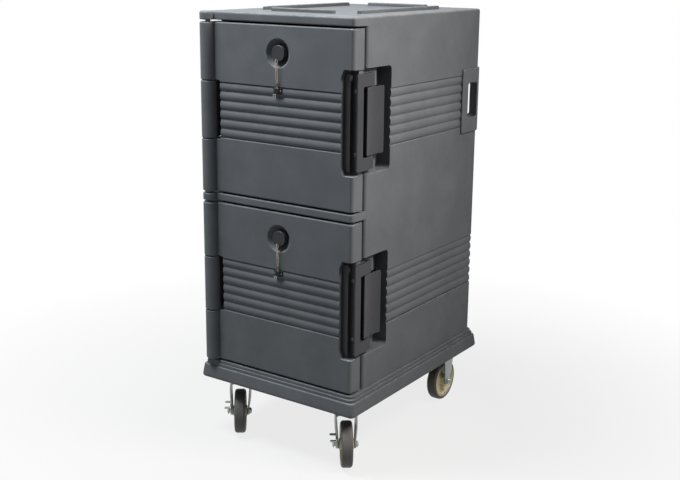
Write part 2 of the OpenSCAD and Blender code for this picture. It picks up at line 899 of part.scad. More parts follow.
// Base on the door's corner: front flange, groove and side plate with two arms that carry the paddle's pin
module latch_base(i) {
    half = latch_h / 2;
    front = y_front + flange_depth;
    side_x = [side_seat, x_right + arm_t / 2];
    color(black) place() difference() {
        translate([0, 0, z_feature(i)]) {
            block([x_right - latch_recess_w, groove_x], [front, flange_back], [-half, half]);
            block([groove_x - groove_t, groove_x], [front, groove_back], [-half, half]);
            block([groove_x - groove_t, side_x[1]], [groove_back - groove_t, groove_back], [-half, half]);
            block(side_x, [front, spine_back], [-half, half]);
            for (z = [[-half, -half + arm_h], [half - arm_h, half]]) {
                block(side_x, [front, latch_y], z);
                translate([latch_x, latch_y, z[0]])
                    cylinder(r = barrel_r, h = arm_h);
            }
        }
        translate([latch_x, latch_y, z_feature(i) - half - eps])
            cylinder(r = latch_pin_r, h = latch_h + 2 * eps);
        at_screws(i)
            translate([0, 0, -groove_t - eps])
                cylinder(r = screw_r, h = groove_t + 2 * eps);
        // The flange's corners follow the recess
        latch_corner_trim(i);
    }
}

// What lies outside the recess's chamfered corners
module latch_corner_trim(i) {
    half = latch_recess_h / 2;
    left = x_right - latch_recess_w;
    along_y([y_front, groove_back])
        for (s = [-1, 1])
            translate([left, z_feature(i) + s * half])
                polygon([[-eps, s * eps], [recess_chamfer[0], s * eps], [recess_chamfer[0], 0],
                    [0, -s * recess_chamfer[1]], [-eps, -s * recess_chamfer[1]]]);
}

module latch_pin(i) {
    color(zinc) place()
        translate([latch_x, latch_y, z_feature(i) - latch_h / 2])
            cylinder(r = latch_pin_r, h = latch_h);
}

module latch_screws(i) {
    color(zinc) place()
        at_screws(i) {
            translate([0, 0, -groove_t - screw_head_h])
                cylinder(r = screw_head_r, h = screw_head_h);
            translate([0, 0, -groove_t])
                cylinder(r = screw_r, h = groove_t + door_skin);
        }
}

// Plate that turns about the pin, with a catch along its rear edge
module latch_paddle(i) {
    y_end = latch_y + paddle_back;
    outer_x = x_right + paddle_t / 2;
    color(black) place() difference() {
        translate([0, 0, z_feature(i) - paddle_h / 2]) {
            block([outer_x - paddle_t, outer_x], [latch_y - paddle_front, y_end], [0, paddle_h]);
            translate([latch_x, latch_y, 0])
                cylinder(r = barrel_r, h = paddle_h);
            block([outer_x - paddle_t - catch_reach, outer_x], [y_end - catch_w, y_end], [0, paddle_h]);
        }
        translate([latch_x, latch_y, z_feature(i) - latch_h / 2])
            cylinder(r = latch_pin_r + pin_clear, h = latch_h);
    }
}

// Turns a swivel caster's own frame, which runs ahead along -Y, to its place under the cart
module at_front(side) {
    place()
        translate([side * caster_x, -caster_y, 0])
            rotate([0, 0, heading])
                children();
}
module at_rear(side) {
    place()
        translate([side * caster_x, caster_y, 0])
            children();
}

module caster_plate() {
    difference() {
        block([-plate_w / 2, plate_w / 2], [-plate_l / 2, plate_l / 2], [caster_h - plate_t, caster_h]);
        at_bolts()
            translate([0, 0, caster_h - plate_t - eps])
                cylinder(r = bolt_r, h = plate_t + 2 * eps);
    }
}

// Fixed half of a swivel: plate, upper race, king pin and its nut
module swivel_plate(side) {
    color(zinc) place()
        translate([side * caster_x, -caster_y, 0]) {
            caster_plate();
            translate([0, 0, race_z])
                cylinder(r = race_r, h = race_h + eps);
            translate([0, 0, crown_z - race_gap - nut_h / 2])
                cylinder(r = king_r, h = race_z + race_gap + nut_h / 2 - crown_z + eps);
            translate([0, 0, crown_z - race_gap - nut_h / 2])
                cylinder(r = king_r + 4, h = nut_h / 2);
        }
}

// One leg of a fork, from its crown down to the axle
module fork_leg(x, reach, top_z) {
    along_x(x) {
        polygon([
            [-leg_top_half, top_z], [leg_top_half, top_z],
            [leg_end_r - reach, wheel_r], [-leg_end_r - reach, wheel_r]
        ]);
        translate([-reach, wheel_r])
            circle(leg_end_r);
    }
}

module fork_legs(reach, top_z) {
    difference() {
        for (x = [[-leg_x - fork_t, -leg_x], [leg_x, leg_x + fork_t]])
            fork_leg(x, reach, top_z);
        translate([-hub_w, -reach, wheel_r])
            rotate([0, 90, 0])
                cylinder(r = axle_r, h = 2 * hub_w);
    }
}

module swivel_fork(side) {
    color(zinc) at_front(side) {
        fork_legs(trail, disc_z);
        difference() {
            union() {
                block([-leg_x - fork_t, leg_x + fork_t], [-leg_top_half, leg_top_half], [crown_z, disc_z]);
                translate([0, 0, disc_z - eps])
                    cylinder(r = race_r + fork_t, h = crown_t + eps);
            }
            translate([0, 0, crown_z - eps])
                cylinder(r = king_r + pin_clear, h = race_z - crown_z + 2 * eps);
        }
    }
}

module rigid_fork(side) {
    color(zinc) at_rear(side) {
        caster_plate();
        fork_legs(0, caster_h - plate_t + eps);
    }
}

// Axle bolt with a round head and a nut; the left end can carry a brake
module axle_bolt(stub) {
    reach = leg_x + fork_t;
    rotate([0, 90, 0]) {
        translate([0, 0, -reach - stub])
            cylinder(r = axle_r, h = 2 * reach + stub);
        translate([0, 0, reach])
            cylinder(r = nut_r, h = nut_h, $fn = 6);
        translate([0, 0, -reach - stub - nut_h / 2])
            cylinder(r = nut_r, h = nut_h / 2);
    }
}

module front_axle(side) {
    color(zinc) at_front(side)
        translate([0, -trail, wheel_r])
            axle_bolt(stub_len);
}

module rear_axle(side) {
    color(zinc) at_rear(side)
        translate([0, 0, wheel_r])
            axle_bolt(0);
}

// A round part of a wheel, its section drawn as radius and place along the axle
module wheel_turn() {
    translate([0, 0, wheel_r])
        rotate([0, 90, 0])
            rotate_extrude($fn = 96)
                children();
}

module core_section() {
    rim_r = wheel_r - tread_t;
    rim_half = tread_w / 2 - 1;
    rim_in = rim_r - 9;
    web_t = 10;
    bore = axle_r + pin_clear + sleeve_t;
    translate([bore, -hub_w / 2])
        square([hub_r - bore, hub_w]);
    translate([hub_r - eps, -web_t / 2])
        square([rim_in - hub_r + 2 * eps, web_t]);
    translate([rim_in, -rim_half])
        square([rim_r - rim_in, 2 * rim_half]);
}

module tread_section() {
    rim_r = wheel_r - tread_t;
    round_r = 6;
    difference() {
        translate([rim_r, -tread_w / 2])
            square([tread_t, tread_w]);
        for (s = [-1, 1])
            translate([wheel_r - round_r, s * (tread_w / 2 - round_r)])
                difference() {
                    translate([0, s > 0 ? 0 : -round_r - eps])
                        square(round_r + eps);
                    circle(round_r);
                }
    }
}

module sleeve_section() {
    translate([axle_r + pin_clear, -hub_w / 2])
        square([sleeve_t, hub_w]);
}

module front_core(side) {
    color(tan_nylon) at_front(side) translate([0, -trail, 0]) wheel_turn() core_section();
}
module front_tread(side) {
    color(rubber_grey) at_front(side) translate([0, -trail, 0]) wheel_turn() tread_section();
}
module front_sleeve(side) {
    color(zinc) at_front(side) translate([0, -trail, 0]) wheel_turn() sleeve_section();
}
module rear_core(side) {
    color(tan_nylon) at_rear(side) wheel_turn() core_section();
}
module rear_tread(side) {
    color(rubber_grey) at_rear(side) wheel_turn() tread_section();
}
module rear_sleeve(side) {
    color(zinc) at_rear(side) wheel_turn() sleeve_section();
}

// Brake rocker on the axle's left end: a plate with two tabs to tread on
module brake(side) {
    plate_x = [-leg_x - fork_t - 1 - brake_t, -leg_x - fork_t - 1];
    tab_x = [plate_x[0] - brake_tab, plate_x[0] + eps];
    boss_r = 12;
    arm = 26;
    color(zinc) at_front(side) translate([0, -trail, wheel_r]) difference() {
        union() {
            along_x(plate_x) {
                circle(boss_r);
                polygon([
                    [-boss_r, 0], [boss_r, 0], [arm, arm - 6],
                    [arm - 8, arm], [-arm + 8, arm], [-arm, arm - 6]
                ]);
            }
            block(tab_x, [-arm, -arm + 10], [arm - 9, arm - 6]);
            block(tab_x, [arm - 10, arm], [arm - 9, arm - 6]);
        }
        translate([tab_x[0], 0, 0])
            rotate([0, 90, 0])
                cylinder(r = axle_r + pin_clear, h = brake_tab + brake_t + 2 * eps);
    }
}

module caster_bolts() {
    color(zinc) place()
        at_casters()
            at_bolts() {
                translate([0, 0, caster_h - plate_t - head_h])
                    cylinder(r = bolt_head_r, h = head_h, $fn = 6);
                translate([0, 0, caster_h - plate_t])
                    cylinder(r = bolt_r, h = plate_t + bolt_grip);
            }
}

body_shell();
base_plinth();
body_foam();
liner(1);  // upper_liner
liner(0);  // lower_liner
hinge_pin(1);  // upper_hinge_pin
hinge_pin(0);  // lower_hinge_pin
caster_bolts();
door_shell(1);  // upper_door_shell
door_foam(1);  // upper_door_foam
door_panel(1);  // upper_door_panel
gasket(1);  // upper_gasket
vent_seat(1);  // upper_vent_seat
tether_clip(1);  // upper_tether_clip
latch_base(1);  // upper_latch_base
latch_pin(1);  // upper_latch_pin
latch_screws(1);  // upper_latch_screws
latch_paddle(1);  // upper_latch_paddle
vent_plug(1);  // upper_vent_plug
tether(1);  // upper_tether
door_shell(0);  // lower_door_shell
door_foam(0);  // lower_door_foam
door_panel(0);  // lower_door_panel
gasket(0);  // lower_gasket
vent_seat(0);  // lower_vent_seat
tether_clip(0);  // lower_tether_clip
latch_base(0);  // lower_latch_base
latch_pin(0);  // lower_latch_pin
latch_screws(0);  // lower_latch_screws
latch_paddle(0);  // lower_latch_paddle
vent_plug(0);  // lower_vent_plug
tether(0);  // lower_tether
swivel_plate(-1);  // left_front_plate
swivel_fork(-1);  // left_front_fork
front_axle(-1);  // left_front_axle
front_core(-1);  // left_front_core
front_tread(-1);  // left_front_tread
front_sleeve(-1);  // left_front_sleeve
brake(-1);  // left_front_brake
swivel_plate(1);  // right_front_plate
swivel_fork(1);  // right_front_fork
front_axle(1);  // right_front_axle
front_core(1);  // right_front_core
front_tread(1);  // right_front_tread
front_sleeve(1);  // right_front_sleeve
brake(1);  // right_front_brake
rigid_fork(-1);  // left_rear_fork
rear_axle(-1);  // left_rear_axle
rear_core(-1);  // left_rear_core
rear_tread(-1);  // left_rear_tread
rear_sleeve(-1);  // left_rear_sleeve
rigid_fork(1);  // right_rear_fork
rear_axle(1);  // right_rear_axle
rear_core(1);  // right_rear_core
rear_tread(1);  // right_rear_tread
rear_sleeve(1);  // right_rear_sleeve
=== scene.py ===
"""Insulated food carrier: rounded mouldings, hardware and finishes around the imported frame."""
import json
import math

import bmesh
import bpy
from mathutils import Matrix, Vector
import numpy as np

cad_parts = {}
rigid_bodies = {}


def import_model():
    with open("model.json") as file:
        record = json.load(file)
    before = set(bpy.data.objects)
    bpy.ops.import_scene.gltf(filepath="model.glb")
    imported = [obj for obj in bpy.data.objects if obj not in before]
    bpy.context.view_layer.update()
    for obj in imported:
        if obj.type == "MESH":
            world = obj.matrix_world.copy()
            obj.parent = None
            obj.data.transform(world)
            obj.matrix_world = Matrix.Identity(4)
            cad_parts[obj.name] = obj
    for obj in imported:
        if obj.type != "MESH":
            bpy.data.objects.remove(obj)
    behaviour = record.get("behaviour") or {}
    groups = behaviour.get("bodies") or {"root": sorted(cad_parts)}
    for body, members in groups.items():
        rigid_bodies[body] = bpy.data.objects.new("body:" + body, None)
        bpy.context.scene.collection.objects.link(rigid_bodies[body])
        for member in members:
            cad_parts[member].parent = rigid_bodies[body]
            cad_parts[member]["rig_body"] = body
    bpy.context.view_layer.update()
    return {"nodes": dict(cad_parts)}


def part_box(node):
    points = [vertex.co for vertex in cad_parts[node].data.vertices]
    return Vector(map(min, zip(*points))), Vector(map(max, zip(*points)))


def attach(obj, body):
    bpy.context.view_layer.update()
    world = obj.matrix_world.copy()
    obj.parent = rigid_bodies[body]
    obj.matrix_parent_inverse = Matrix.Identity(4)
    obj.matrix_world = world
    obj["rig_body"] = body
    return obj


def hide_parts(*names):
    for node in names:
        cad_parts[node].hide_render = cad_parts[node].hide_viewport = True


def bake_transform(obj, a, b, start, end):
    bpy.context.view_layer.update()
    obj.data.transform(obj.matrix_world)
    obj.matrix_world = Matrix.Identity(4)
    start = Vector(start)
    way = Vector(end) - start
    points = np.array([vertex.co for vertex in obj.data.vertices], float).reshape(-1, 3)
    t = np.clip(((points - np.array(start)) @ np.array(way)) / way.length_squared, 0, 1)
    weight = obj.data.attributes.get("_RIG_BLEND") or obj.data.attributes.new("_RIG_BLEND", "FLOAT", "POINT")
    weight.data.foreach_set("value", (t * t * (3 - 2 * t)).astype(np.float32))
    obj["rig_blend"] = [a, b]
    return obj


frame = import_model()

# Sizes are in metres, in the frame's own axes: X to the right of the doors, Y to the back, Z up.
# Profiles are (radius, height) in mm, and runs of wire are offsets in mm.
MM = 0.001
LEVELS = ("upper", "lower")
SIDES = ("left", "right")
ENDS = ("front", "rear")

# Limits for meshes: merged points, slivers, points in one place, and angles between faces
WELD = 1e-6
SLIVER = 0.01 * MM
NEAR = 0.15 * MM
FLAT = math.radians(0.5)
SHARP = math.radians(38)
SQUARE = math.radians(60)
DISH_ANGLE = math.radians(20)

# Hinges
HINGE_R = 22 * MM
HINGE_BORE_R = 7 * MM
CLEAR_OF_BORE = HINGE_BORE_R + 3 * MM
KNUCKLE_HALF = 75.5 * MM
KNUCKLE_GAP = 4.5 * MM
KNUCKLE_GROWN = 2.7 * MM

# Doors
LATCH_UP = 226 * MM
VENT_UP = 388 * MM
DISH_R = 38 * MM
BAND_HALF = 75.6 * MM
RECESS_W = 38 * MM
RECESS_HALF = 133 * MM
RECESS_MARGIN = 2 * MM
BACK_RIM = 7 * MM

# Latch frames and their screws
SPINE_W = 26 * MM
ARM_H = 33 * MM
ARM_LEN = 58 * MM
SIDE_T = 8 * MM
UNDERCUT = 11 * MM
LUG_BACK = 2.5 * MM
FACE_RAISED = 1 * MM
FACE_SUNK = 3 * MM
FRAME_CORNER = 5 * MM
ARM_CORNER = 4 * MM
ARM_TIP = 2 * MM
SCREW_HEAD_R = 5.5 * MM
SCREW_SHANK_R = 3
SCREW_HEAD = [(3, 2.5), (5.5, 2.5), (5.5, 1.6), (5, 0.6), (4, 0.1), (3.2, 0)]
SCREW_SOCKET = [(2.6, 0), (2.4, 1.6)]

# Latch paddles
PADDLE_HALF = 87 * MM
PADDLE_FRONT = 30.5 * MM
PADDLE_BACK = 46.5 * MM
PADDLE_BARREL_R = 8 * MM
PADDLE_FOLD = 8 * MM
PADDLE_LIP = 7 * MM
PADDLE_DIP = 4.5 * MM
PADDLE_FLARE = 0.8 * MM
PADDLE_FOLD_IN = 10.5 * MM
PADDLE_REAR_IN = 8 * MM
CATCH_T = 5 * MM

# Vent plugs, with the left half of the staple as offsets from the vent's middle
PLUG = [
    (0, 0.4), (15.5, 0.4), (16.3, 0.2), (17, 0), (19.2, 0), (20, 0.25), (20.6, 0.8), (21, 1.7),
    (21, 8), (20.2, 8.6), (20.2, 10.4), (21, 11), (21, 20.4), (20.6, 21.3), (19.8, 21.7), (9, 21.7),
    (9, 41.6), (8.4, 42.6), (7.4, 43), (0, 43),
]
STAPLE_HALF = [(-2.2, 2, -15.8), (-2.2, -3.8, -15.8), (-1.7, -5, -15.8), (-0.8, -5.5, -15.8)]
STAPLE_BAR = (0, -5.5, -15.8)
STAPLE_D = 1.2 * MM

# Tether clips, with the cut wire ends as offsets from the middle of the clip's back
EAR_T = 3.2 * MM
EAR_CORNER = 3 * MM
HUMP_HALF = 7.5 * MM
HUMP_CORNER = 1.5 * MM
CLIP_SCREW = [(0, 0), (2.6, 0), (2.6, 0.5), (2.2, 1), (1.2, 1.3), (0, 1.4)]
CLIP_SCREW_ASIDE = 10.5 * MM
CLIP_SCREW_SEAT = 3.1 * MM
CUT_ENDS = [
    ((-4, -3.4, -5), (-11.5, -5.4, -15)), ((-3, -3.6, -5), (-4.5, -5.8, -16)),
    ((-5, -3, -5), (-13.5, -4.2, -11.5)),
]
CUT_END_D = 0.9 * MM

# Tethers: a loop from the clip up through the plug's staple and back, as offsets from the vent's middle
TETHER_D = 2 * MM
TETHER_RUN = [
    (1.1, -3.6, -91), (1.1, -3.8, -84), (1.1, -4.2, -77), (2, -4.9, -70), (3, -5.6, -62),
    (3.5, -6.4, -52), (3.3, -7.2, -42), (2.4, -8.2, -33), (1.2, -9.1, -26), (0.4, -9.6, -21.5),
    (0.1, -9.7, -18.3), (0, -9.1, -16.2), (0, -7.6, -14.7), (0, -5.5, -14.1), (0, -3.4, -14.7),
    (0, -1.9, -16.2), (-0.1, -1.3, -18.3), (-0.4, -1.3, -21.5), (-1.4, -2, -27), (-2.6, -3.2, -34),
    (-3.3, -3.9, -43), (-3.5, -4.2, -53), (-3, -4.3, -63), (-2, -4.2, -70), (-1.1, -4.1, -77),
    (-1.1, -3.8, -84), (-1.1, -3.6, -91),
]
CRIMP = [(2.6, 0), (3, 0.5), (3, 3), (2.7, 4), (3, 5), (3, 7.5), (2.6, 8)]
CRIMP_AT = (0, -4.1, -84)
CRIMP_FLAT = 0.55

# Body
RIDGE_H = 9.5 * MM
MID_LIP_H = 21 * MM
TOP_LIP_H = 23 * MM
LIP_ROOT = 8 * MM
DOOR_GAP = 5 * MM
LEFT_WALL = 232 * MM
POCKET_HALF = 135 * MM
POST_BELOW = 14 * MM
LEDGE_IN = 92 * MM
LEDGE_START = 11.2 * MM
LEDGE_STOP = 52 * MM
LEDGE_T = 27 * MM
PAD_T = 5 * MM
PAD_HALF = 93 * MM
PAD_LEN = 110 * MM
PAD_PROUD = 1 * MM
SLOT_HALF = 52 * MM

# Plinth. The boss under the lower hinge keeps two shares of how far it stands out
SKIRT_T = 6 * MM
SKIRT_H = 40 * MM
SKIRT_FOOT = 10 * MM
SKIRT_RIM = 1 * MM
STEP_H = 9 * MM
STEP_IN = 8 * MM
DECK_IN = 12 * MM
BOSS_FOOT = 0.3
BOSS_TOP = 0.5

# Casters: forks and plates. A fork's strap has a row at each of the turns round its leg's end, in degrees
WHEEL_R = 63.5 * MM
TRAIL = 36 * MM
HEADING = math.radians(37.5)
LEG_IN = 21 * MM
FORK_T = 4 * MM
FORK_BEND = 9 * MM
PRESSED = 3.5 * MM
SPLAY = 5 * MM
LEG_END_R = 14 * MM
LEG_END_TURNS = range(6, 90, 12)
LEG_ROWS = 4
STRAP_ACROSS = 8
CROWN_HALF = 30 * MM
PLATE_HALF = (46 * MM, 56 * MM)
PLATE_CORNER = 9 * MM
PLATE_T = 4 * MM
CUP_FOOT = 146.3 * MM
CUP = [
    (9, 144), (29.5, 144), (30.6, 145), (31, 146.6), (31, 151.4), (30.4, 152.8), (29, 153.3), (24, 153.3),
    (22.5, 152.4), (9, 152.4), (9, 144),
]
RACE = [
    (0, 135), (11.5, 135), (12, 135.5), (12, 138.4), (11.5, 139), (7.5, 139), (7.5, 153.8), (21, 153.8),
    (25, 154), (26.6, 155), (27, 156.6), (27, 161), (28.5, 163.6), (0, 163.6),
]

# Casters: axles and wheels, with height along the axle. A front axle is longer, to carry its brake
AXLE_HEAD = [(0, -29), (4, -29), (7, -28.4), (8.8, -27.2), (9.5, -25.6), (9.5, -25), (6, -25)]
AXLE_END = [(6, 32), (5.2, 33), (0, 33)]
BRAKE_ROOM = 9
WASHER = [(6, 25), (10.6, 25), (11, 25.4), (11, 26.2), (10.6, 26.6), (6, 26.6), (6, 25)]
NUT = [(8.4, 26.6), (9.5, 27.3), (9.5, 31), (8.4, 31.7)]
CORE_HALF = [
    (9, 20), (14.6, 20), (15.6, 19.4), (16.2, 18.2), (17, 11.5), (18, 9), (20, 7.2), (24, 6), (30, 5.4),
    (36, 5.6), (40, 6.4), (43, 8.4), (45, 11.6), (46, 14.2), (47, 15), (53, 15), (54, 14.4),
]
TYRE_EDGE = [(53.8, 14.4), (54.3, 15.5)]
SHOULDER_AT = (55.5, 8)
SHOULDER_R = 8

# Sides of round and six-sided rings
ROUND = 24
HEX = 6

# Turns: a shape along Z laid along X, and a shape drawn in XY stood up in YZ with its height along X
ALONG_X = Matrix.Rotation(math.pi / 2, 4, "Y")
STAND = Matrix(((0, 0, 1, 0), (1, 0, 0, 0), (0, 1, 0, 0), (0, 0, 0, 1)))


def linked(name, data):
    """A new object in the scene."""
    made = bpy.data.objects.new(name, data)
    bpy.context.scene.collection.objects.link(made)
    return made


# Camera at the photograph's viewing angle
IMAGE_W = 680
FOCAL_PX = 1061
SENSOR_W = 36
CAMERA_AT = Vector((1.701, -2.493, 1.346))
YAW, PITCH, ROLL = math.radians(34.6), math.radians(13.8), math.radians(-0.56)
CAMERA_SHIFT = -0.03


def photo_camera():
    """The scene's camera."""
    data = bpy.data.cameras.new("photo_camera")
    data.sensor_width = SENSOR_W
    data.lens = SENSOR_W * FOCAL_PX / IMAGE_W
    data.shift_y = CAMERA_SHIFT
    camera = linked("photo_camera", data)
    turn = (
        Matrix.Rotation(YAW, 4, "Z")
        @ Matrix.Rotation(math.radians(90) - PITCH, 4, "X")
        @ Matrix.Rotation(-ROLL, 4, "Z")
    )
    camera.matrix_world = Matrix.Translation(CAMERA_AT) @ turn
    bpy.context.scene.camera = camera


photo_camera()


# Node graphs, with the Mix node's sockets where it mixes colours
MIX_FACTOR, MIX_FIRST, MIX_SECOND, MIX_RESULT = 0, 6, 7, 2


def feed(tree, socket, value):
    """Gives a socket a link or a constant."""
    if isinstance(value, bpy.types.NodeSocket):
        tree.links.new(value, socket)
    else:
        socket.default_value = value


def node(tree, kind, inputs=None, **settings):
    """A shader node with its settings, and a constant or a link for each named input."""
    made = tree.nodes.new("ShaderNode" + kind)
    for key, value in settings.items():
        setattr(made, key, value)
    for key, value in (inputs or {}).items():
        feed(tree, made.inputs[key], value)
    return made


def mix_colour(tree, factor, first, second):
    """The first colour where the factor is 0, the second where it is 1."""
    made = node(tree, "Mix", {MIX_FACTOR: factor, MIX_FIRST: first, MIX_SECOND: second}, data_type="RGBA")
    return made.outputs[MIX_RESULT]


def spread(tree, value, low, high, to_low=0.0, to_high=1.0):
    """A value stretched from one range to another, and held there."""
    made = node(
        tree, "MapRange",
        {"Value": value, "From Min": low, "From Max": high, "To Min": to_low, "To Max": to_high},
    )
    return made.outputs["Result"]


def maths(tree, operation, first, second):
    """Two values added, multiplied or compared."""
    return node(tree, "Math", {0: first, 1: second}, operation=operation).outputs[0]


def noise(tree, where, scale, detail=2.0, roughness=0.5):
    """Cloudy values around one half."""
    made = node(tree, "TexNoise", {"Vector": where, "Scale": scale, "Detail": detail, "Roughness": roughness})
    return made.outputs["Fac"]


def effect(name, inputs, outputs):
    """An empty node group, its inputs and its outputs."""
    tree = bpy.data.node_groups.new(name, "ShaderNodeTree")
    for label, kind in inputs:
        tree.interface.new_socket(label, in_out="INPUT", socket_type="NodeSocket" + kind)
    for label, kind in outputs:
        tree.interface.new_socket(label, in_out="OUTPUT", socket_type="NodeSocket" + kind)
    return tree, tree.nodes.new("NodeGroupInput").outputs, tree.nodes.new("NodeGroupOutput").inputs


def use(tree, group, **inputs):
    """A node group placed in a material."""
    return node(tree, "Group", inputs, node_tree=group).outputs


# Effects that the finishes share
WAVE_SCALE = 0.16
FINE_SHARE = 0.55
SCRATCHES = (
    {"Rotation": (0.5, 0.5, 0.3), "Scale": (6.0, 6.0, 170.0)},
    {"Rotation": (-0.9, -0.9, 0.3), "Scale": (150.0, 150.0, 5.0)},
)


def moulded_skin_effect():
    """Clouding, gloss patches and the fine pebble of a moulded skin."""
    tree, given, made = effect(
        "moulded_skin",
        [("Vector", "Vector"), ("Pebble", "Float")],
        [("Cloud", "Float"), ("Gloss", "Float"), ("Height", "Float")],
    )
    where, pebble = given["Vector"], given["Pebble"]
    clouds = noise(tree, where, scale=9.0, detail=4.0, roughness=0.6)
    feed(tree, made["Cloud"], spread(tree, clouds, low=0.3, high=0.7))
    patches = noise(tree, where, scale=38.0, detail=3.0)
    feed(tree, made["Gloss"], spread(tree, patches, low=0.3, high=0.7))
    fine = noise(tree, where, scale=pebble)
    waves = noise(tree, where, scale=maths(tree, "MULTIPLY", pebble, WAVE_SCALE), detail=1.0)
    feed(tree, made["Height"], maths(tree, "ADD", maths(tree, "MULTIPLY", fine, FINE_SHARE), waves))
    return tree


def edge_wear_and_highlight_effect():
    """Rubbed patches on the rounded edges, which carry the edge attribute: a lighter colour that is wear and
    also a painted edge highlight.
    """
    tree, given, made = effect("edge_wear_and_highlight", [("Vector", "Vector"), ("Amount", "Float")], [("Worn_and_highlit", "Float")])
    edge = node(tree, "Attribute", attribute_name="edge").outputs["Fac"]
    rubs = noise(tree, given["Vector"], scale=70.0, detail=4.0, roughness=0.65)
    patches = maths(tree, "MULTIPLY", edge, spread(tree, rubs, low=0.35, high=0.72))
    feed(tree, made["Worn_and_highlit"], maths(tree, "MULTIPLY", patches, given["Amount"]))
    return tree


def scuff_effect():
    """Sparse fine scratches in two directions."""
    tree, given, made = effect("scuffs", [("Vector", "Vector"), ("Amount", "Float")], [("Scuff", "Float")])
    lines = []
    for way in SCRATCHES:
        drawn = node(tree, "Mapping", {"Vector": given["Vector"], **way})
        thin = noise(tree, drawn.outputs[0], scale=1.0, detail=3.0, roughness=0.6)
        lines.append(spread(tree, thin, low=0.66, high=0.74))
    both = maths(tree, "MAXIMUM", *lines)
    where_rubbed = spread(tree, noise(tree, given["Vector"], scale=7.0), low=0.5, high=0.68)
    patches = maths(tree, "MULTIPLY", both, where_rubbed)
    feed(tree, made["Scuff"], maths(tree, "MULTIPLY", patches, given["Amount"]))
    return tree


moulded_skin = moulded_skin_effect()
edge_wear_and_highlight = edge_wear_and_highlight_effect()
scuffs = scuff_effect()


def srgb(red, green, blue):
    """A colour as it looks on screen, 0 to 255, as linear light by the standard curve."""
    def linear(value):
        part = value / 255
        return part / 12.92 if part <= 0.04045 else ((part + 0.055) / 1.055) ** 2.4
    return (linear(red), linear(green), linear(blue), 1.0)


# Finishes
SCUFF_ROUGHNESS = 0.12
LINE_ROUGHNESS = 0.12
LINE_STRETCH = 0.06
# Metal edges lighten towards a rubbed colour, as wear and as a painted edge highlight
METAL_WEAR_AND_HIGHLIGHT = 0.8
RUBBED_AND_HIGHLIT_METAL = srgb(226, 228, 226)


def blank(name):
    """A new material with its tree, its Principled shader and the piece's own coordinates."""
    material = bpy.data.materials.new(name)
    material.use_nodes = True
    tree = material.node_tree
    where = node(tree, "TexCoord").outputs["Object"]
    return material, tree, tree.nodes["Principled BSDF"], where


def bump(tree, surface, height, strength, distance):
    """Raises a shader's surface by a height."""
    made = node(tree, "Bump", {"Height": height, "Strength": strength, "Distance": distance})
    feed(tree, surface.inputs["Normal"], made.outputs["Normal"])


def roughen(tree, surface, patches, roughness, marks, added):
    """Roughness that runs between two values in patches, with more on the marks."""
    shine = spread(tree, patches, 0.0, 1.0, *roughness)
    feed(tree, surface.inputs["Roughness"], maths(tree, "ADD", shine, maths(tree, "MULTIPLY", marks, added)))


def plastic(name, dark, light, worn_and_highlit, roughness, specular, pebble, relief, wear_and_highlight_amount, scratched):
    """A moulded plastic or rubber: clouded colour, pebbled skin, rubbed edges lightened as wear and as a
    painted highlight, and fine scratches.
    """
    material, tree, surface, where = blank(name)
    skin = use(tree, moulded_skin, Vector=where, Pebble=pebble)
    wear_and_highlight = use(tree, edge_wear_and_highlight, Vector=where, Amount=wear_and_highlight_amount)["Worn_and_highlit"]
    scuffed = use(tree, scuffs, Vector=where, Amount=scratched)["Scuff"]
    colour = mix_colour(tree, skin["Cloud"], dark, light)
    colour = mix_colour(tree, maths(tree, "MAXIMUM", wear_and_highlight, scuffed), colour, worn_and_highlit)
    feed(tree, surface.inputs["Base Color"], colour)
    roughen(tree, surface, skin["Gloss"], roughness, scuffed, SCUFF_ROUGHNESS)
    surface.inputs["Specular IOR Level"].default_value = specular
    bump(tree, surface, skin["Height"], strength=relief, distance=0.6 * MM)
    return material


def metal(name, dull, bright, roughness, grain):
    """Plated or drawn steel: mottled plating with fine drawn lines, and rubbed edges lightened as wear and as
    a painted highlight.
    """
    material, tree, surface, where = blank(name)
    clouds = noise(tree, where, scale=60.0, detail=4.0, roughness=0.6)
    mottle = spread(tree, clouds, low=0.3, high=0.7)
    wear_and_highlight = use(tree, edge_wear_and_highlight, Vector=where, Amount=METAL_WEAR_AND_HIGHLIGHT)["Worn_and_highlit"]
    colour = mix_colour(tree, mottle, dull, bright)
    feed(tree, surface.inputs["Base Color"], mix_colour(tree, wear_and_highlight, colour, RUBBED_AND_HIGHLIT_METAL))
    surface.inputs["Metallic"].default_value = 1.0
    drawn = node(tree, "Mapping", {"Vector": where, "Scale": (grain, grain, grain * LINE_STRETCH)})
    lines = noise(tree, drawn.outputs[0], scale=1.0, detail=3.0, roughness=0.7)
    roughen(tree, surface, mottle, roughness, lines, LINE_ROUGHNESS)
    bump(tree, surface, lines, strength=0.12, distance=0.3 * MM)
    return material


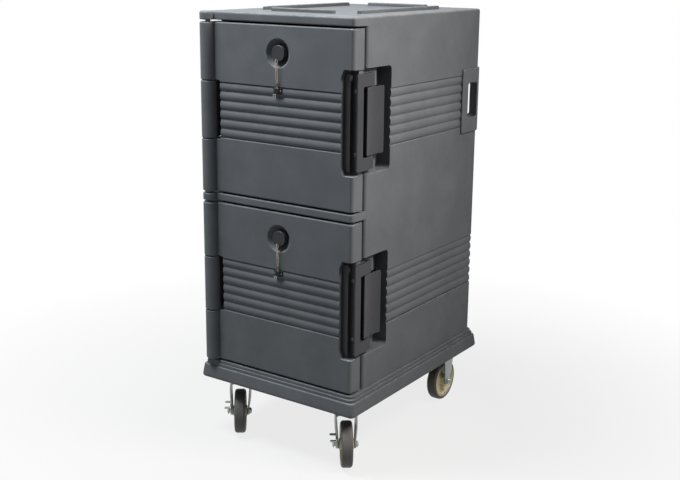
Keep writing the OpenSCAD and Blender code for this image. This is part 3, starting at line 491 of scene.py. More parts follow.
# The worn colour lightens the rounded edges, as wear and as a painted edge highlight
charcoal = plastic(
    "charcoal_polyethylene", dark=srgb(76, 79, 82), light=srgb(85, 88, 91), worn_and_highlit=srgb(122, 124, 125),
    roughness=(0.44, 0.54), specular=0.08, pebble=900.0, relief=0.22, wear_and_highlight_amount=0.35, scratched=0.08,
)
liner_grey = plastic(
    "liner_polyethylene", dark=srgb(92, 95, 97), light=srgb(101, 104, 106), worn_and_highlit=srgb(134, 136, 137),
    roughness=(0.40, 0.52), specular=0.35, pebble=700.0, relief=0.16, wear_and_highlight_amount=0.3, scratched=0.35,
)
black_nylon = plastic(
    "black_nylon", dark=srgb(42, 43, 46), light=srgb(48, 49, 52), worn_and_highlit=srgb(80, 80, 82),
    roughness=(0.36, 0.46), specular=0.16, pebble=1500.0, relief=0.12, wear_and_highlight_amount=0.45, scratched=0.2,
)
clip_black = plastic(
    "clip_black", dark=srgb(17, 17, 19), light=srgb(21, 21, 23), worn_and_highlit=srgb(40, 40, 41),
    roughness=(0.4, 0.5), specular=0.2, pebble=700.0, relief=0.15, wear_and_highlight_amount=0.3, scratched=0.1,
)
gasket_rubber = plastic(
    "gasket_rubber", dark=srgb(24, 24, 25), light=srgb(31, 31, 32), worn_and_highlit=srgb(52, 52, 53),
    roughness=(0.62, 0.74), specular=0.3, pebble=1100.0, relief=0.2, wear_and_highlight_amount=0.2, scratched=0.05,
)
tread_rubber = plastic(
    "tread_rubber", dark=srgb(60, 59, 57), light=srgb(72, 71, 69), worn_and_highlit=srgb(112, 110, 106),
    roughness=(0.48, 0.62), specular=0.4, pebble=1000.0, relief=0.3, wear_and_highlight_amount=0.4, scratched=0.3,
)
tan_nylon = plastic(
    "tan_nylon", dark=srgb(182, 172, 138), light=srgb(198, 188, 154), worn_and_highlit=srgb(214, 206, 180),
    roughness=(0.40, 0.52), specular=0.4, pebble=800.0, relief=0.15, wear_and_highlight_amount=0.4, scratched=0.2,
)
pour_foam = plastic(
    "pour_foam", dark=srgb(206, 188, 132), light=srgb(221, 205, 152), worn_and_highlit=srgb(236, 224, 182),
    roughness=(0.85, 0.95), specular=0.2, pebble=420.0, relief=0.8, wear_and_highlight_amount=0.0, scratched=0.0,
)
zinc = metal(
    "zinc_plate", dull=srgb(132, 139, 141), bright=srgb(164, 170, 169), roughness=(0.26, 0.40), grain=900.0,
)
# A darker copy of the zinc plate for the front forks: the darkness is painted shade
fork_zinc_painted_shade = metal(
    "fork_zinc_painted_shade", dull=srgb(78, 84, 82), bright=srgb(142, 148, 145), roughness=(0.2, 0.34), grain=900.0,
)
pin_steel = metal(
    "dark_steel", dull=srgb(66, 67, 70), bright=srgb(92, 93, 95), roughness=(0.32, 0.46), grain=1100.0,
)
tether_wire = metal(
    "tether_wire", dull=srgb(140, 122, 114), bright=srgb(190, 178, 170), roughness=(0.3, 0.42), grain=2400.0,
)
bright_wire = metal(
    "cut_wire", dull=srgb(200, 200, 198), bright=srgb(226, 226, 224), roughness=(0.24, 0.34), grain=2400.0,
)


# Rules that pick edges by their two ends
def close(value, *others):
    """Whether each of the others is the same as a value."""
    return all(abs(other - value) < NEAR for other in others)


def level(*heights):
    """A rule: both ends lie at one of these heights."""
    def rule(first, second):
        return any(close(z, first.z, second.z) for z in heights)
    return rule


def anywhere(first, second):
    """A rule: every edge."""
    return True


def edges_where(bm, rule, inward, sharp):
    """Sharp edges, outward or inward ones, whose two ends satisfy a rule."""
    found = []
    for edge in bm.edges:
        if len(edge.link_faces) != 2:
            continue
        angle = edge.calc_face_angle_signed(0.0)
        if (-angle if inward else angle) < sharp:
            continue
        if rule(edge.verts[0].co, edge.verts[1].co):
            found.append(edge)
    return found


# Mesh tools
def solid_copy(name):
    """A merged copy of a node's solid, each flat face whole."""
    bm = bmesh.new()
    bm.from_mesh(frame["nodes"][name].data)
    bmesh.ops.remove_doubles(bm, verts=bm.verts, dist=WELD)
    bmesh.ops.dissolve_limit(
        bm, angle_limit=FLAT, verts=bm.verts, edges=bm.edges, use_dissolve_boundaries=False,
    )
    return bm


def soften(bm, rule, radius, segments=4, inward=False, sharp=SHARP):
    """Rounds the edges that satisfy a rule, and marks the rounded faces for wear and a painted edge
    highlight.
    """
    edges = edges_where(bm, rule, inward, sharp)
    if not edges:
        return
    made = bmesh.ops.bevel(
        bm, geom=edges, offset=radius, offset_type="OFFSET", segments=segments, profile=0.5,
        affect="EDGES", clamp_overlap=False, material=-1, loop_slide=True,
    )
    layer = bm.loops.layers.float.get("edge") or bm.loops.layers.float.new("edge")
    rounded = set(made["faces"])
    for face in rounded:
        for loop in face.loops:
            inside = all(other in rounded for other in loop.vert.link_faces)
            loop[layer] = 1.0 if inside else 0.0


def object_from(bm, name, material):
    """An object from a mesh, which is used up."""
    mesh = bpy.data.meshes.new(name)
    bm.to_mesh(mesh)
    bm.free()
    mesh.materials.append(material)
    return linked(name, mesh)


def finished(bm, name, body, material, replaced=()):
    """A piece from its mesh: no slivers, smooth shading with crisp edges, riding on a body."""
    bmesh.ops.remove_doubles(bm, verts=bm.verts, dist=SLIVER)
    bmesh.ops.dissolve_degenerate(bm, dist=SLIVER, edges=bm.edges)
    for face in bm.faces:
        face.smooth = True
    for edge in bm.edges:
        edge.smooth = edge.calc_face_angle(0.0) < SHARP
    piece = object_from(bm, name, material)
    attributes = piece.data.attributes
    if "custom_normal" in attributes:
        attributes.remove(attributes["custom_normal"])
    weighted = piece.modifiers.new("even_normals", "WEIGHTED_NORMAL")
    weighted.keep_sharp = True
    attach(piece, body)
    if replaced:
        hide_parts(*replaced)
    return piece


def body_of(name):
    """The body that a node rides on."""
    return frame["nodes"][name]["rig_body"]


def dressed(bm, name, suffix, material):
    """A piece that stands for one node, named after it."""
    return finished(bm, name + "_" + suffix, body_of(name), material, [name])


def plain_copy(name, suffix, material, radius, segments=2):
    """A node's solid with its sharp outward edges eased."""
    bm = solid_copy(name)
    soften(bm, anywhere, radius, segments)
    dressed(bm, name, suffix, material)


def placed(bm, at, axis=(0, 0, 1)):
    """A shape made at the origin along Z, moved to its place and laid along an axis."""
    way = Vector((0, 0, 1)).rotation_difference(Vector(axis)).to_matrix().to_4x4()
    bmesh.ops.transform(bm, matrix=Matrix.Translation(at) @ way, verts=bm.verts)
    return bm


def standing(bm, at):
    """A shape drawn in XY, stood up in YZ at its place."""
    bmesh.ops.transform(bm, matrix=Matrix.Translation(at) @ STAND, verts=bm.verts)
    return bm


def joined(*parts):
    """One mesh of several, which are used up."""
    bm = bmesh.new()
    for part in parts:
        mesh = bpy.data.meshes.new("part")
        part.to_mesh(mesh)
        part.free()
        bm.from_mesh(mesh)
        bpy.data.meshes.remove(mesh)
    return bm


def turned(profile, steps=64):
    """A solid of revolution about Z from a profile."""
    bm = bmesh.new()
    verts = [bm.verts.new((radius * MM, 0, along * MM)) for radius, along in profile]
    edges = [bm.edges.new(pair) for pair in zip(verts, verts[1:])]
    bmesh.ops.spin(
        bm, geom=verts + edges, cent=(0, 0, 0), axis=(0, 0, 1), angle=math.tau, steps=steps, use_merge=True,
    )
    bmesh.ops.remove_doubles(bm, verts=bm.verts, dist=WELD)
    bmesh.ops.recalc_face_normals(bm, faces=bm.faces)
    return bm


def both_halves(half):
    """A closed profile from the half of it above the middle."""
    return half + [(radius, -along) for radius, along in reversed(half)] + half[:1]


def extruded(outline, depth):
    """A flat outline in the XY plane, drawn up along Z."""
    bm = bmesh.new()
    face = bm.faces.new([bm.verts.new((x, y, 0)) for x, y in outline])
    made = bmesh.ops.extrude_face_region(bm, geom=[face], use_keep_orig=True)
    lifted = [part for part in made["geom"] if isinstance(part, bmesh.types.BMVert)]
    bmesh.ops.translate(bm, verts=lifted, vec=(0, 0, depth))
    bmesh.ops.recalc_face_normals(bm, faces=bm.faces)
    return bm


def arc(centre, radius, start, stop, steps=6):
    """Points on an arc between two angles in degrees."""
    angles = [math.radians(start + (stop - start) * k / steps) for k in range(steps + 1)]
    return [(centre[0] + radius * math.cos(turn), centre[1] + radius * math.sin(turn)) for turn in angles]


def rounded_outline(half_w, half_h, radius):
    """A rectangle about the origin with rounded corners."""
    points = []
    for sx, sy, start in ((1, 1, 0), (-1, 1, 90), (-1, -1, 180), (1, -1, 270)):
        points += arc((sx * (half_w - radius), sy * (half_h - radius)), radius, start, start + 90)
    return points


def rings(profile, sides, flat=1.0):
    """Rings of points round Z from a profile, which may be flattened along Y."""
    angles = [math.tau * k / sides for k in range(sides)]
    return [
        [Vector((radius * math.cos(turn), flat * radius * math.sin(turn), height)) * MM for turn in angles]
        for radius, height in profile
    ]


def lofted(loops):
    """A closed solid through rings of points."""
    bm = bmesh.new()
    edges = []
    for points in loops:
        verts = [bm.verts.new(point) for point in points]
        edges.append([bm.edges.new((verts[k - 1], verts[k])) for k in range(len(verts))])
    for first, second in zip(edges, edges[1:]):
        bmesh.ops.bridge_loops(bm, edges=first + second)
    bmesh.ops.edgeloop_fill(bm, edges=edges[0])
    bmesh.ops.edgeloop_fill(bm, edges=edges[-1])
    bmesh.ops.recalc_face_normals(bm, faces=bm.faces)
    return bm


def smooth_run(start, offsets, per_span):
    """Points along a smooth curve through offsets in mm from a start."""
    points = [start + Vector(offset) * MM for offset in offsets]
    run = []
    for k in range(len(points) - 1):
        before = points[max(k - 1, 0)]
        after = points[min(k + 2, len(points) - 1)]
        first, last = points[k], points[k + 1]
        for n in range(per_span):
            t = n / per_span
            run.append(
                0.5 * (2 * first + (last - before) * t
                       + (2 * before - 5 * first + 4 * last - after) * t ** 2
                       + (3 * first - before - 3 * last + after) * t ** 3)
            )
    return run + [points[-1]]


def wire(points, diameter):
    """A round wire through points, its ends closed."""
    curve = bpy.data.curves.new("wire", "CURVE")
    curve.dimensions = "3D"
    curve.bevel_depth = diameter / 2
    curve.bevel_resolution = 3
    curve.use_fill_caps = True
    spline = curve.splines.new("POLY")
    spline.points.add(len(points) - 1)
    for place, point in zip(spline.points, points):
        place.co = (*point, 1)
    drawn = bpy.data.objects.new("wire", curve)
    mesh = bpy.data.meshes.new_from_object(drawn)
    bpy.data.objects.remove(drawn)
    bpy.data.curves.remove(curve)
    bm = bmesh.new()
    bm.from_mesh(mesh)
    bpy.data.meshes.remove(mesh)
    bmesh.ops.remove_doubles(bm, verts=bm.verts, dist=WELD)
    bmesh.ops.recalc_face_normals(bm, faces=bm.faces)
    return bm


# Doors
class DoorPlan:
    """Places on one door, from its solid."""

    def __init__(self, name):
        low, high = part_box(name + "_door_shell")
        self.bottom, self.top = low.z, high.z
        self.right, self.back = high.x, high.y
        self.front = low.y + HINGE_R
        self.axis = Vector((low.x + HINGE_R, self.front, 0))
        self.latch_z = low.z + LATCH_UP
        self.vent = Vector(((self.axis.x + self.right) / 2, self.front, low.z + VENT_UP))

    def off_axis(self, point):
        """How far a point is from the hinge's axis."""
        return math.hypot(point.x - self.axis.x, point.y - self.axis.y)

    def clear_of_bore(self, first, second):
        """A rule: both ends are clear of the hinge's bore."""
        return min(self.off_axis(first), self.off_axis(second)) > CLEAR_OF_BORE

    def about_latch(self, half):
        """Two heights, one as far below the latch's middle as the other is above it."""
        return self.latch_z - half, self.latch_z + half


doors = {name: DoorPlan(name) for name in LEVELS}


def door_moulding(name):
    """Door shell with rounded rims, knuckles, vent dish and latch recess."""
    plan = doors[name]
    shell = name + "_door_shell"
    bm = solid_copy(shell)
    rear = plan.back - BACK_RIM

    def rim(first, second):
        ahead = max(first.y, second.y) < rear
        return ahead and plan.clear_of_bore(first, second) and level(plan.bottom, plan.top)(first, second)

    def knuckle_end(first, second):
        ends = plan.about_latch(KNUCKLE_HALF + KNUCKLE_GAP)
        ahead = max(first.y, second.y) < plan.front + HINGE_R
        return ahead and plan.clear_of_bore(first, second) and level(*ends)(first, second)

    def dish_rim(first, second):
        out = close(DISH_R, (first - plan.vent).length, (second - plan.vent).length)
        return out and close(plan.front, first.y, second.y)

    def recess_rim(first, second):
        ends = level(*plan.about_latch(RECESS_HALF))(first, second)
        on_front = close(plan.front, first.y, second.y)
        beside = min(first.x, second.x) > plan.right - RECESS_W - RECESS_MARGIN
        return beside and (on_front or ends) and max(first.y, second.y) < rear

    def band_edge(way):
        def rule(first, second):
            on_front = close(plan.front, first.y, second.y)
            return on_front and level(plan.latch_z + way * BAND_HALF)(first, second)
        return rule

    soften(bm, rim, radius=4 * MM)
    soften(bm, band_edge(-1), radius=2.6 * MM)
    soften(bm, band_edge(1), radius=1.5 * MM, segments=3)
    soften(bm, dish_rim, radius=1.6 * MM, segments=3, sharp=DISH_ANGLE)
    soften(bm, knuckle_end, radius=3 * MM, segments=3)
    soften(bm, recess_rim, radius=1.5 * MM, segments=3)
    dressed(bm, shell, "moulding", charcoal)


def latch_frame(name):
    """Moulded base of the latch, with a raised face on its spine and arms."""
    node_name = name + "_latch_base"
    low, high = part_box(node_name)
    bm = solid_copy(node_name)
    for vert in bm.verts:
        if vert.co.y < low.y + NEAR and close(high.x - SIDE_T, vert.co.x):
            vert.co.y += UNDERCUT
        if vert.co.y > low.y + ARM_LEN and vert.co.x > high.x - SIDE_T / 2:
            vert.co.x -= LUG_BACK
    soften(bm, anywhere, radius=1 * MM, segments=3)
    foot = (low.z - high.z) / 2
    tip_y = ARM_LEN - ARM_TIP
    outline = arc((FRAME_CORNER, foot + FRAME_CORNER), FRAME_CORNER, 180, 270)
    outline += arc((tip_y, foot + ARM_TIP), ARM_TIP, -90, 0)
    outline += arc((tip_y, foot + ARM_H - ARM_TIP), ARM_TIP, 0, 90)
    outline += arc((SPINE_W + ARM_CORNER, foot + ARM_H + ARM_CORNER), ARM_CORNER, -90, -180)
    outline += [(y, -z) for y, z in reversed(outline)]
    face = extruded(outline, FACE_RAISED + FACE_SUNK)
    soften(face, anywhere, radius=0.6 * MM, segments=3, sharp=SQUARE)
    standing(face, (high.x - FACE_SUNK, low.y, doors[name].latch_z))
    dressed(joined(bm, face), node_name, "frame", black_nylon)


def latch_screws(name):
    """Round-headed screws with a six-sided socket."""
    node_name = name + "_latch_screws"
    low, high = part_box(node_name)
    shank = [(SCREW_SHANK_R, (high.y - low.y) / MM)]
    parts = []
    for z in (low.z + SCREW_HEAD_R, high.z - SCREW_HEAD_R):
        head = lofted(rings(shank + SCREW_HEAD, ROUND) + rings(SCREW_SOCKET, HEX))
        parts.append(placed(head, ((low.x + high.x) / 2, low.y, z), (0, 1, 0)))
    dressed(joined(*parts), node_name, "heads", pin_steel)


def paddle_plate(name):
    """Latch paddle: a plate folded so that its rear edge flares out, with a catch behind it."""
    node_name = name + "_latch_paddle"
    low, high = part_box(node_name)
    outer, back = high.x, high.y
    pin_x, pin_y = outer - PADDLE_BARREL_R, back - PADDLE_BACK
    front, fold = pin_y - PADDLE_FRONT, pin_y + PADDLE_FOLD
    outline = [
        (outer - PADDLE_LIP, front), (outer, front), (outer - PADDLE_DIP, fold), (outer + PADDLE_FLARE, back),
        (low.x, back), (low.x, back - CATCH_T), (outer - PADDLE_REAR_IN, back - CATCH_T),
        (outer - PADDLE_FOLD_IN, fold),
    ]
    outline += arc((pin_x, pin_y), PADDLE_BARREL_R, 100, 266, steps=12)
    bm = placed(extruded(outline, 2 * PADDLE_HALF), (0, 0, low.z))

    def rear_corner(first, second):
        return min(first.y, second.y) > back - NEAR and level(low.z, high.z)(first, second)

    def front_corner(first, second):
        return max(first.y, second.y) < front + NEAR and level(low.z, high.z)(first, second)

    soften(bm, rear_corner, radius=4.5 * MM, segments=5)
    soften(bm, front_corner, radius=2 * MM, segments=3)
    soften(bm, anywhere, radius=0.9 * MM, segments=3)
    dressed(bm, node_name, "plate", black_nylon)


def vent_cap(name):
    """Vent plug with a dished face and a gripping groove, and the wire staple that holds its tether."""
    node_name = name + "_vent_plug"
    plan = doors[name]
    dressed(placed(turned(PLUG), plan.vent, (0, 1, 0)), node_name, "cap", black_nylon)
    staple = STAPLE_HALF + [(-x, y, z) for x, y, z in reversed(STAPLE_HALF)]
    bent = wire(smooth_run(plan.vent, staple, per_span=3), STAPLE_D)
    finished(bent, name + "_plug_staple", body_of(node_name), zinc)


def clip_saddle(name):
    """Black saddle over the tether's end with two screwed ears, and the cut wire ends below it."""
    node_name = name + "_tether_clip"
    body = body_of(node_name)
    low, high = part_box(node_name)
    half = (high - low) / 2
    depth = high.y - low.y
    base = Vector((low.x + half.x, high.y, low.z + half.z))
    forward = (0, -1, 0)
    ears = extruded(rounded_outline(half.x, half.z, EAR_CORNER), EAR_T)
    soften(ears, level(EAR_T), radius=0.8 * MM, segments=3, sharp=SQUARE)
    hump = extruded(rounded_outline(HUMP_HALF, half.z, HUMP_CORNER), depth)
    soften(hump, level(depth), radius=2.2 * MM, sharp=SQUARE)
    block = joined(placed(ears, base, forward), placed(hump, base, forward))
    dressed(block, node_name, "saddle", clip_black)
    screws = []
    for way in (-1, 1):
        seat = base + Vector((way * CLIP_SCREW_ASIDE, -CLIP_SCREW_SEAT, 0))
        screws.append(placed(turned(CLIP_SCREW, steps=20), seat, forward))
    finished(joined(*screws), name + "_clip_screws", body, pin_steel)
    ends = [wire([base + Vector(point) * MM for point in end], CUT_END_D) for end in CUT_ENDS]
    finished(joined(*ends), name + "_tether_ends", body, bright_wire)


def hinge_rod(name):
    """Hinge pin, which ends at the plinth's deck where it would go down into it."""
    node_name = name + "_hinge_pin"
    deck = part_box("base_plinth")[1].z
    bm = solid_copy(node_name)
    for vert in bm.verts:
        vert.co.z = max(vert.co.z, deck)
    soften(bm, anywhere, radius=1.5 * MM, segments=3)
    dressed(bm, node_name, "rod", pin_steel)


for name in LEVELS:
    door_moulding(name)
    plain_copy(name + "_door_panel", "moulding", charcoal, radius=0.8 * MM)
    plain_copy(name + "_gasket", "bulb", gasket_rubber, radius=4 * MM, segments=5)
    plain_copy(name + "_vent_seat", "bush", black_nylon, radius=0.6 * MM)
    latch_frame(name)
    plain_copy(name + "_latch_pin", "rod", pin_steel, radius=0.6 * MM)
    latch_screws(name)
    paddle_plate(name)
    vent_cap(name)
    clip_saddle(name)
    plain_copy(name + "_liner", "moulding", liner_grey, radius=1.5 * MM, segments=3)
    hinge_rod(name)


# Body
def body_moulding():
    """Body shell with rounded lips, ridges, bands and handle pads, and ledges in its latch pockets."""
    bm = solid_copy("body_shell")
    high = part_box("body_shell")[1]
    upper, plans = doors["upper"], list(doors.values())
    top = high.z - RIDGE_H
    mid_lip = doors["lower"].top + DOOR_GAP
    lips = (top - TOP_LIP_H, mid_lip, mid_lip + MID_LIP_H)
    left, right, back = -LEFT_WALL, high.x - PAD_T, high.y - PAD_T
    pad_front = back - PAD_LEN
    post_x = right - POST_BELOW

    def lip_rim(first, second):
        ahead = max(first.y, second.y) < upper.back + LIP_ROOT
        return ahead and upper.clear_of_bore(first, second) and level(*lips)(first, second)

    def knuckle_end(first, second):
        ends = [z for plan in plans for z in plan.about_latch(KNUCKLE_HALF + KNUCKLE_GROWN)]
        near = max(upper.off_axis(first), upper.off_axis(second)) < HINGE_R + NEAR
        return near and upper.clear_of_bore(first, second) and level(*ends)(first, second)

    def band_edge(way):
        heights = [plan.latch_z + way * BAND_HALF for plan in plans]

        def rule(first, second):
            return min(first.y, second.y) > upper.back and level(*heights)(first, second)
        return rule

    def on_pad(point):
        beside = point.x > right + PAD_PROUD or point.x < left - PAD_PROUD
        return beside or point.y > back + PAD_PROUD

    def pad_rim(first, second):
        near = all(abs(end.z - upper.latch_z) < PAD_HALF + NEAR for end in (first, second))
        behind = min(first.y, second.y) > pad_front - NEAR
        return near and behind and on_pad(first) and on_pad(second)

    def pad_corner(first, second):
        return close(pad_front, first.y, second.y) and level(*upper.about_latch(PAD_HALF))(first, second)

    def slot_corner(first, second):
        behind = min(first.y, second.y) > pad_front
        return behind and level(*upper.about_latch(SLOT_HALF))(first, second)

    def pocket_sill(first, second):
        sills = [plan.latch_z - POCKET_HALF for plan in plans]
        on_side = min(first.x, second.x) > right - NEAR and max(first.y, second.y) < 0
        return on_side and level(*sills)(first, second)

    def post_rim(first, second):
        return close(post_x, first.x, second.x) and max(first.y, second.y) < 0

    for vert in bm.verts:
        for plan in plans:
            up = vert.co.z - plan.latch_z
            if close(KNUCKLE_HALF, abs(up)) and vert.co.y < plan.back:
                vert.co.z += math.copysign(KNUCKLE_GROWN, up)
    soften(bm, level(top), radius=6 * MM)
    soften(bm, lip_rim, radius=3.5 * MM)
    soften(bm, knuckle_end, radius=3 * MM, segments=3)
    soften(bm, level(high.z), radius=3 * MM, segments=3)
    soften(bm, band_edge(-1), radius=2.4 * MM, segments=3)
    soften(bm, band_edge(1), radius=1.2 * MM, segments=2)
    soften(bm, pad_corner, radius=5 * MM)
    soften(bm, slot_corner, radius=9 * MM, inward=True)
    soften(bm, pad_rim, radius=2 * MM, segments=3)
    soften(bm, pocket_sill, radius=2 * MM, segments=3)
    soften(bm, post_rim, radius=1.5 * MM, segments=3)
    ledges = []
    for plan in plans:
        start, stop = plan.back + LEDGE_START, plan.back + LEDGE_STOP
        for way in (-1, 1):
            inner, outer = way * LEDGE_IN, way * POCKET_HALF
            ledge = extruded([(start, inner), (stop, inner), (stop, outer), (start, outer)], LEDGE_T)
            ledges.append(standing(ledge, (post_x - LEDGE_T, 0, plan.latch_z)))
    dressed(joined(bm, *ledges), "body_shell", "moulding", charcoal)


def plinth_moulding():
    """Plinth with a rounded skirt and steps."""
    bm = solid_copy("base_plinth")
    low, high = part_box("base_plinth")
    plan = doors["lower"]
    skirt_top = low.z + SKIRT_H

    def outside(point):
        beside = point.x < low.x + SKIRT_T or point.x > high.x - SKIRT_T
        return beside or point.y < low.y + SKIRT_T or point.y > high.y - SKIRT_T

    def foot(first, second):
        return level(low.z)(first, second) and outside(first) and outside(second)

    # The hinge boss swells the steps a little, and the pin's hole in it is closed
    hole = [
        face for face in bm.faces
        if all(plan.off_axis(vert.co) < HINGE_BORE_R + NEAR for vert in face.verts)
    ]
    bmesh.ops.delete(bm, geom=hole, context="FACES")
    bmesh.ops.edgeloop_fill(bm, edges=[edge for edge in bm.edges if edge.is_boundary])
    boss = ((skirt_top, low.y + STEP_IN, BOSS_FOOT), (high.z, low.y + DECK_IN, BOSS_TOP))
    for vert in bm.verts:
        for height, edge_y, share in boss:
            near = plan.off_axis(vert.co) < HINGE_R + NEAR and close(height, vert.co.z)
            if near and vert.co.y < edge_y - NEAR:
                vert.co.y = edge_y + (vert.co.y - edge_y) * share
        if outside(vert.co) and low.z + NEAR < vert.co.z < low.z + SKIRT_RIM:
            vert.co.z = low.z + SKIRT_FOOT
    soften(bm, foot, radius=7 * MM)
    soften(bm, level(skirt_top), radius=3 * MM)
    soften(bm, level(skirt_top + STEP_H), radius=1.8 * MM, segments=3)
    soften(bm, level(high.z), radius=2.5 * MM, segments=3)
    dressed(bm, "base_plinth", "moulding", charcoal)


body_moulding()
plinth_moulding()


# Foam stays out of sight inside the walls
for name in ("body_foam", "upper_door_foam", "lower_door_foam"):
    frame["nodes"][name].data.materials.clear()
    frame["nodes"][name].data.materials.append(pour_foam)


# Casters
class CasterPlan:
    """Where a caster stands and which way it faces."""

    def __init__(self, side, end):
        self.start = side + "_" + end + "_"
        self.swivels = end == "front"
        low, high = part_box(self.start + ("plate" if self.swivels else "fork"))
        middle = (low + high) / 2
        self.under = high.z
        self.trail = TRAIL if self.swivels else 0.0
        self.place = Matrix.Translation((middle.x, middle.y, 0))
        self.facing = self.place @ Matrix.Rotation(HEADING if self.swivels else 0.0, 4, "Z")
        self.axle = self.facing @ Matrix.Translation((0, -self.trail, WHEEL_R)) @ ALONG_X


def moved(bm, matrix):
    """A shape set in its place."""
    bmesh.ops.transform(bm, matrix=matrix, verts=bm.verts)
    return bm


def strap(plan, crown):
    """Fork bent from one strap of sheet: leg, rounded bend, crown, bend and leg."""
    mid = LEG_IN + FORK_T / 2
    foot = WHEEL_R - LEG_END_R
    bend = crown - FORK_BEND
    rows = [(-mid, foot + LEG_END_R * (1 - math.cos(math.radians(turn)))) for turn in LEG_END_TURNS]
    rows += [(-mid, WHEEL_R + (bend - WHEEL_R) * k / LEG_ROWS) for k in range(LEG_ROWS + 1)]
    rows += [(-mid + FORK_BEND + x, z) for x, z in arc((0, bend), FORK_BEND, 165, 90, steps=5)]
    rows += [(-x, z) for x, z in reversed(rows)]
    last = len(rows) - 1
    bm = bmesh.new()
    bmesh.ops.create_grid(bm, x_segments=last, y_segments=STRAP_ACROSS, size=1.0)
    for vert in bm.verts:
        across = vert.co.y
        x, z = rows[round((vert.co.x + 1) / 2 * last)]
        if z < WHEEL_R:
            centre, half = -plan.trail, math.sqrt(LEG_END_R ** 2 - (WHEEL_R - z) ** 2)
        else:
            up = (z - WHEEL_R) / (crown - WHEEL_R)
            centre, half = -plan.trail * (1 - up), LEG_END_R + (CROWN_HALF - LEG_END_R) * up
            bulge = PRESSED * (1 - across ** 2) * math.sin(math.pi * up)
            x = x * (1 + SPLAY * up / mid) + math.copysign(bulge, x)
        vert.co = (x, centre + half * across, z)
    bmesh.ops.recalc_face_normals(bm, faces=bm.faces)
    bmesh.ops.solidify(bm, geom=bm.faces[:], thickness=FORK_T)
    bmesh.ops.recalc_face_normals(bm, faces=bm.faces)
    lift = crown + FORK_T / 2 - max(vert.co.z for vert in bm.verts)
    width = max(abs(vert.co.x) for vert in bm.verts if vert.co.z < WHEEL_R)
    bmesh.ops.scale(bm, vec=((LEG_IN + FORK_T) / width, 1, 1), verts=bm.verts)
    bmesh.ops.translate(bm, vec=(0, 0, lift), verts=bm.verts)
    soften(bm, anywhere, radius=0.7 * MM, segments=2, sharp=SQUARE)
    return moved(bm, plan.facing)


def base_plate(plan):
    """Mounting plate with rounded corners."""
    bm = extruded(rounded_outline(*PLATE_HALF, PLATE_CORNER), PLATE_T)
    soften(bm, anywhere, radius=0.7 * MM, segments=2, sharp=SQUARE)
    return moved(placed(bm, (0, 0, plan.under - PLATE_T)), plan.place)


def front_fork(plan):
    """Swivel fork: bent strap under a rounded race cup, its plate with the race, and its brake."""
    cup = moved(turned(CUP), plan.place)
    bent = strap(plan, CUP_FOOT - FORK_T / 2)
    # The front fork gets the darker copy of zinc, which is painted shade
    dressed(joined(bent, cup), plan.start + "fork", "stamping", fork_zinc_painted_shade)
    race = moved(turned(RACE), plan.place)
    dressed(joined(base_plate(plan), race), plan.start + "plate", "race", zinc)
    plain_copy(plan.start + "brake", "rocker", zinc, radius=0.6 * MM)


def rear_fork(plan):
    """Fixed fork: bent strap welded under its plate."""
    bent = strap(plan, plan.under - PLATE_T - FORK_T / 2)
    dressed(joined(base_plate(plan), bent), plan.start + "fork", "stamping", zinc)


def axle_bolt(plan):
    """Axle with a domed head at its left end, and a washer and chamfered nut at its right end."""
    room = BRAKE_ROOM if plan.swivels else 0
    head = [(radius, along - room) for radius, along in AXLE_HEAD]
    parts = turned(head + AXLE_END, steps=32), turned(WASHER, steps=32), lofted(rings(NUT, HEX))
    dressed(moved(joined(*parts), plan.axle), plan.start + "axle", "bolt", zinc)


def wheel(plan):
    """Dished core on a hub, and the tyre with rounded shoulders moulded over it."""
    core = turned(both_halves(CORE_HALF), steps=96)
    dressed(moved(core, plan.axle), plan.start + "core", "wheel", tan_nylon)
    shoulder = arc(SHOULDER_AT, SHOULDER_R, 88, 0)
    tyre = turned(both_halves(TYRE_EDGE + shoulder), steps=128)
    dressed(moved(tyre, plan.axle), plan.start + "tread", "tyre", tread_rubber)


for side in SIDES:
    for end in ENDS:
        caster = CasterPlan(side, end)
        (front_fork if caster.swivels else rear_fork)(caster)
        axle_bolt(caster)
        wheel(caster)
        plain_copy(caster.start + "sleeve", "bush", zinc, radius=0.4 * MM)
plain_copy("caster_bolts", "heads", zinc, radius=0.6 * MM)


# Tethers
def tether(name):
    """Loop of thin cable from the door's clip through the plug's staple, closed by a crimped sleeve."""
    plan = doors[name]
    path = smooth_run(plan.vent, TETHER_RUN, per_span=4)
    bm = wire(path, TETHER_D)
    for face in bm.faces:
        face.smooth = True
    cable = object_from(bm, name + "_tether_cable", tether_wire)
    door_end, plug_end = path[0], plan.vent + Vector(STAPLE_BAR) * MM
    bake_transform(cable, name + "_door", name + "_plug", start=door_end, end=plug_end)
    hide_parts(name + "_tether")
    sleeve = placed(lofted(rings(CRIMP, ROUND, CRIMP_FLAT)), plan.vent + Vector(CRIMP_AT) * MM)
    crimp = finished(sleeve, name + "_tether_crimp", name + "_door", pin_steel)


for name in LEVELS:
    tether(name)


# Floor, world and lamps
FLOOR_HALF = 30.0
FLOOR_GREY = (0.25, 0.25, 0.25, 1)
WHITE = (1, 1, 1, 1)
AMBIENT = (0.92, 0.96, 1.0, 1)


def background_rays(tree):
    """1 for the rays that show the background: from the camera, off metal and through glass."""
    path = node(tree, "LightPath").outputs
    seen = maths(tree, "MAXIMUM", path["Is Camera Ray"], path["Is Glossy Ray"])
    return maths(tree, "MAXIMUM", seen, path["Is Transmission Ray"])


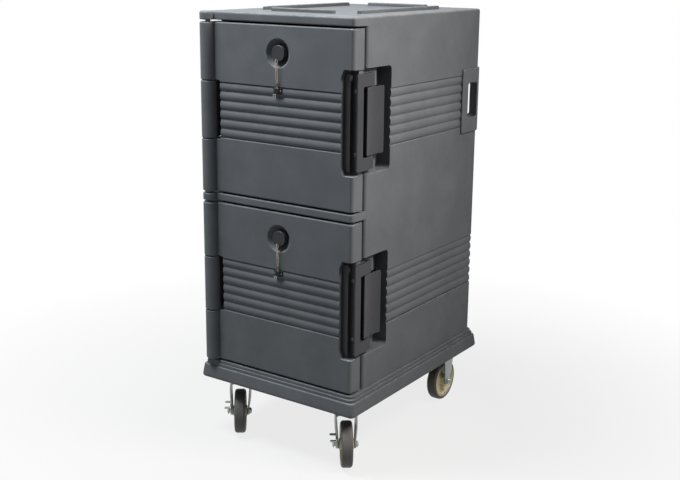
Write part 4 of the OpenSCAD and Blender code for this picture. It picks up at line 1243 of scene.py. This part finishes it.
def floor_finish():
    """White floor that keeps the shadow close to the object."""
    material = bpy.data.materials.new("studio_floor")
    material.use_nodes = True
    tree = material.node_tree
    tree.nodes.clear()
    where = node(tree, "TexCoord").outputs["Object"]
    away = node(tree, "VectorMath", {0: where}, operation="LENGTH").outputs["Value"]
    share = spread(tree, away, low=0.5, high=1.6, to_low=0.8)
    glow = maths(tree, "MULTIPLY", background_rays(tree), share)
    matt = node(tree, "BsdfDiffuse", {"Color": FLOOR_GREY})
    white = node(tree, "Emission", {"Color": WHITE, "Strength": 1.0})
    both = node(tree, "MixShader", {0: glow, 1: matt.outputs[0], 2: white.outputs[0]})
    node(tree, "OutputMaterial", {"Surface": both.outputs[0]})
    return material


def stage_floor():
    """Wide floor under the wheels."""
    bm = bmesh.new()
    bmesh.ops.create_grid(bm, x_segments=1, y_segments=1, size=FLOOR_HALF)
    floor = object_from(bm, "studio_floor", floor_finish())


def studio_world():
    """Soft light from all round, in front of a white background."""
    world = bpy.data.worlds.new("studio")
    bpy.context.scene.world = world
    world.use_nodes = True
    tree = world.node_tree
    tree.nodes.clear()
    ambient = node(tree, "Background", {"Color": AMBIENT, "Strength": 0.28})
    white = node(tree, "Background", {"Color": WHITE, "Strength": 1.0})
    both = node(tree, "MixShader", {0: background_rays(tree), 1: ambient.outputs[0], 2: white.outputs[0]})
    node(tree, "OutputWorld", {"Surface": both.outputs[0]})


def softbox(name, at, aim, width, power, colour, reach=180):
    """A square lamp that faces its aim, with its reach in degrees."""
    data = bpy.data.lights.new(name, "AREA")
    data.shape = "RECTANGLE"
    data.size = data.size_y = width
    data.energy = power
    data.color = colour
    data.spread = math.radians(reach)
    lamp = linked(name, data)
    lamp.location = at
    lamp.rotation_euler = (Vector(aim) - Vector(at)).to_track_quat("-Z", "Y").to_euler()


stage_floor()
studio_world()
softbox(
    "overhead_box", at=(-0.8, -0.95, 3.0), aim=(0.0, -0.1, 0.8),
    width=0.9, power=160, colour=(0.95, 0.98, 1.0),
)
softbox(
    "right_box", at=(1.8, 0.1, 2.4), aim=(0.25, -0.55, 0.95),
    width=0.7, power=18, colour=(1.0, 0.935, 0.87), reach=64,
)
bpy.context.scene.view_settings.view_transform = "Standard"
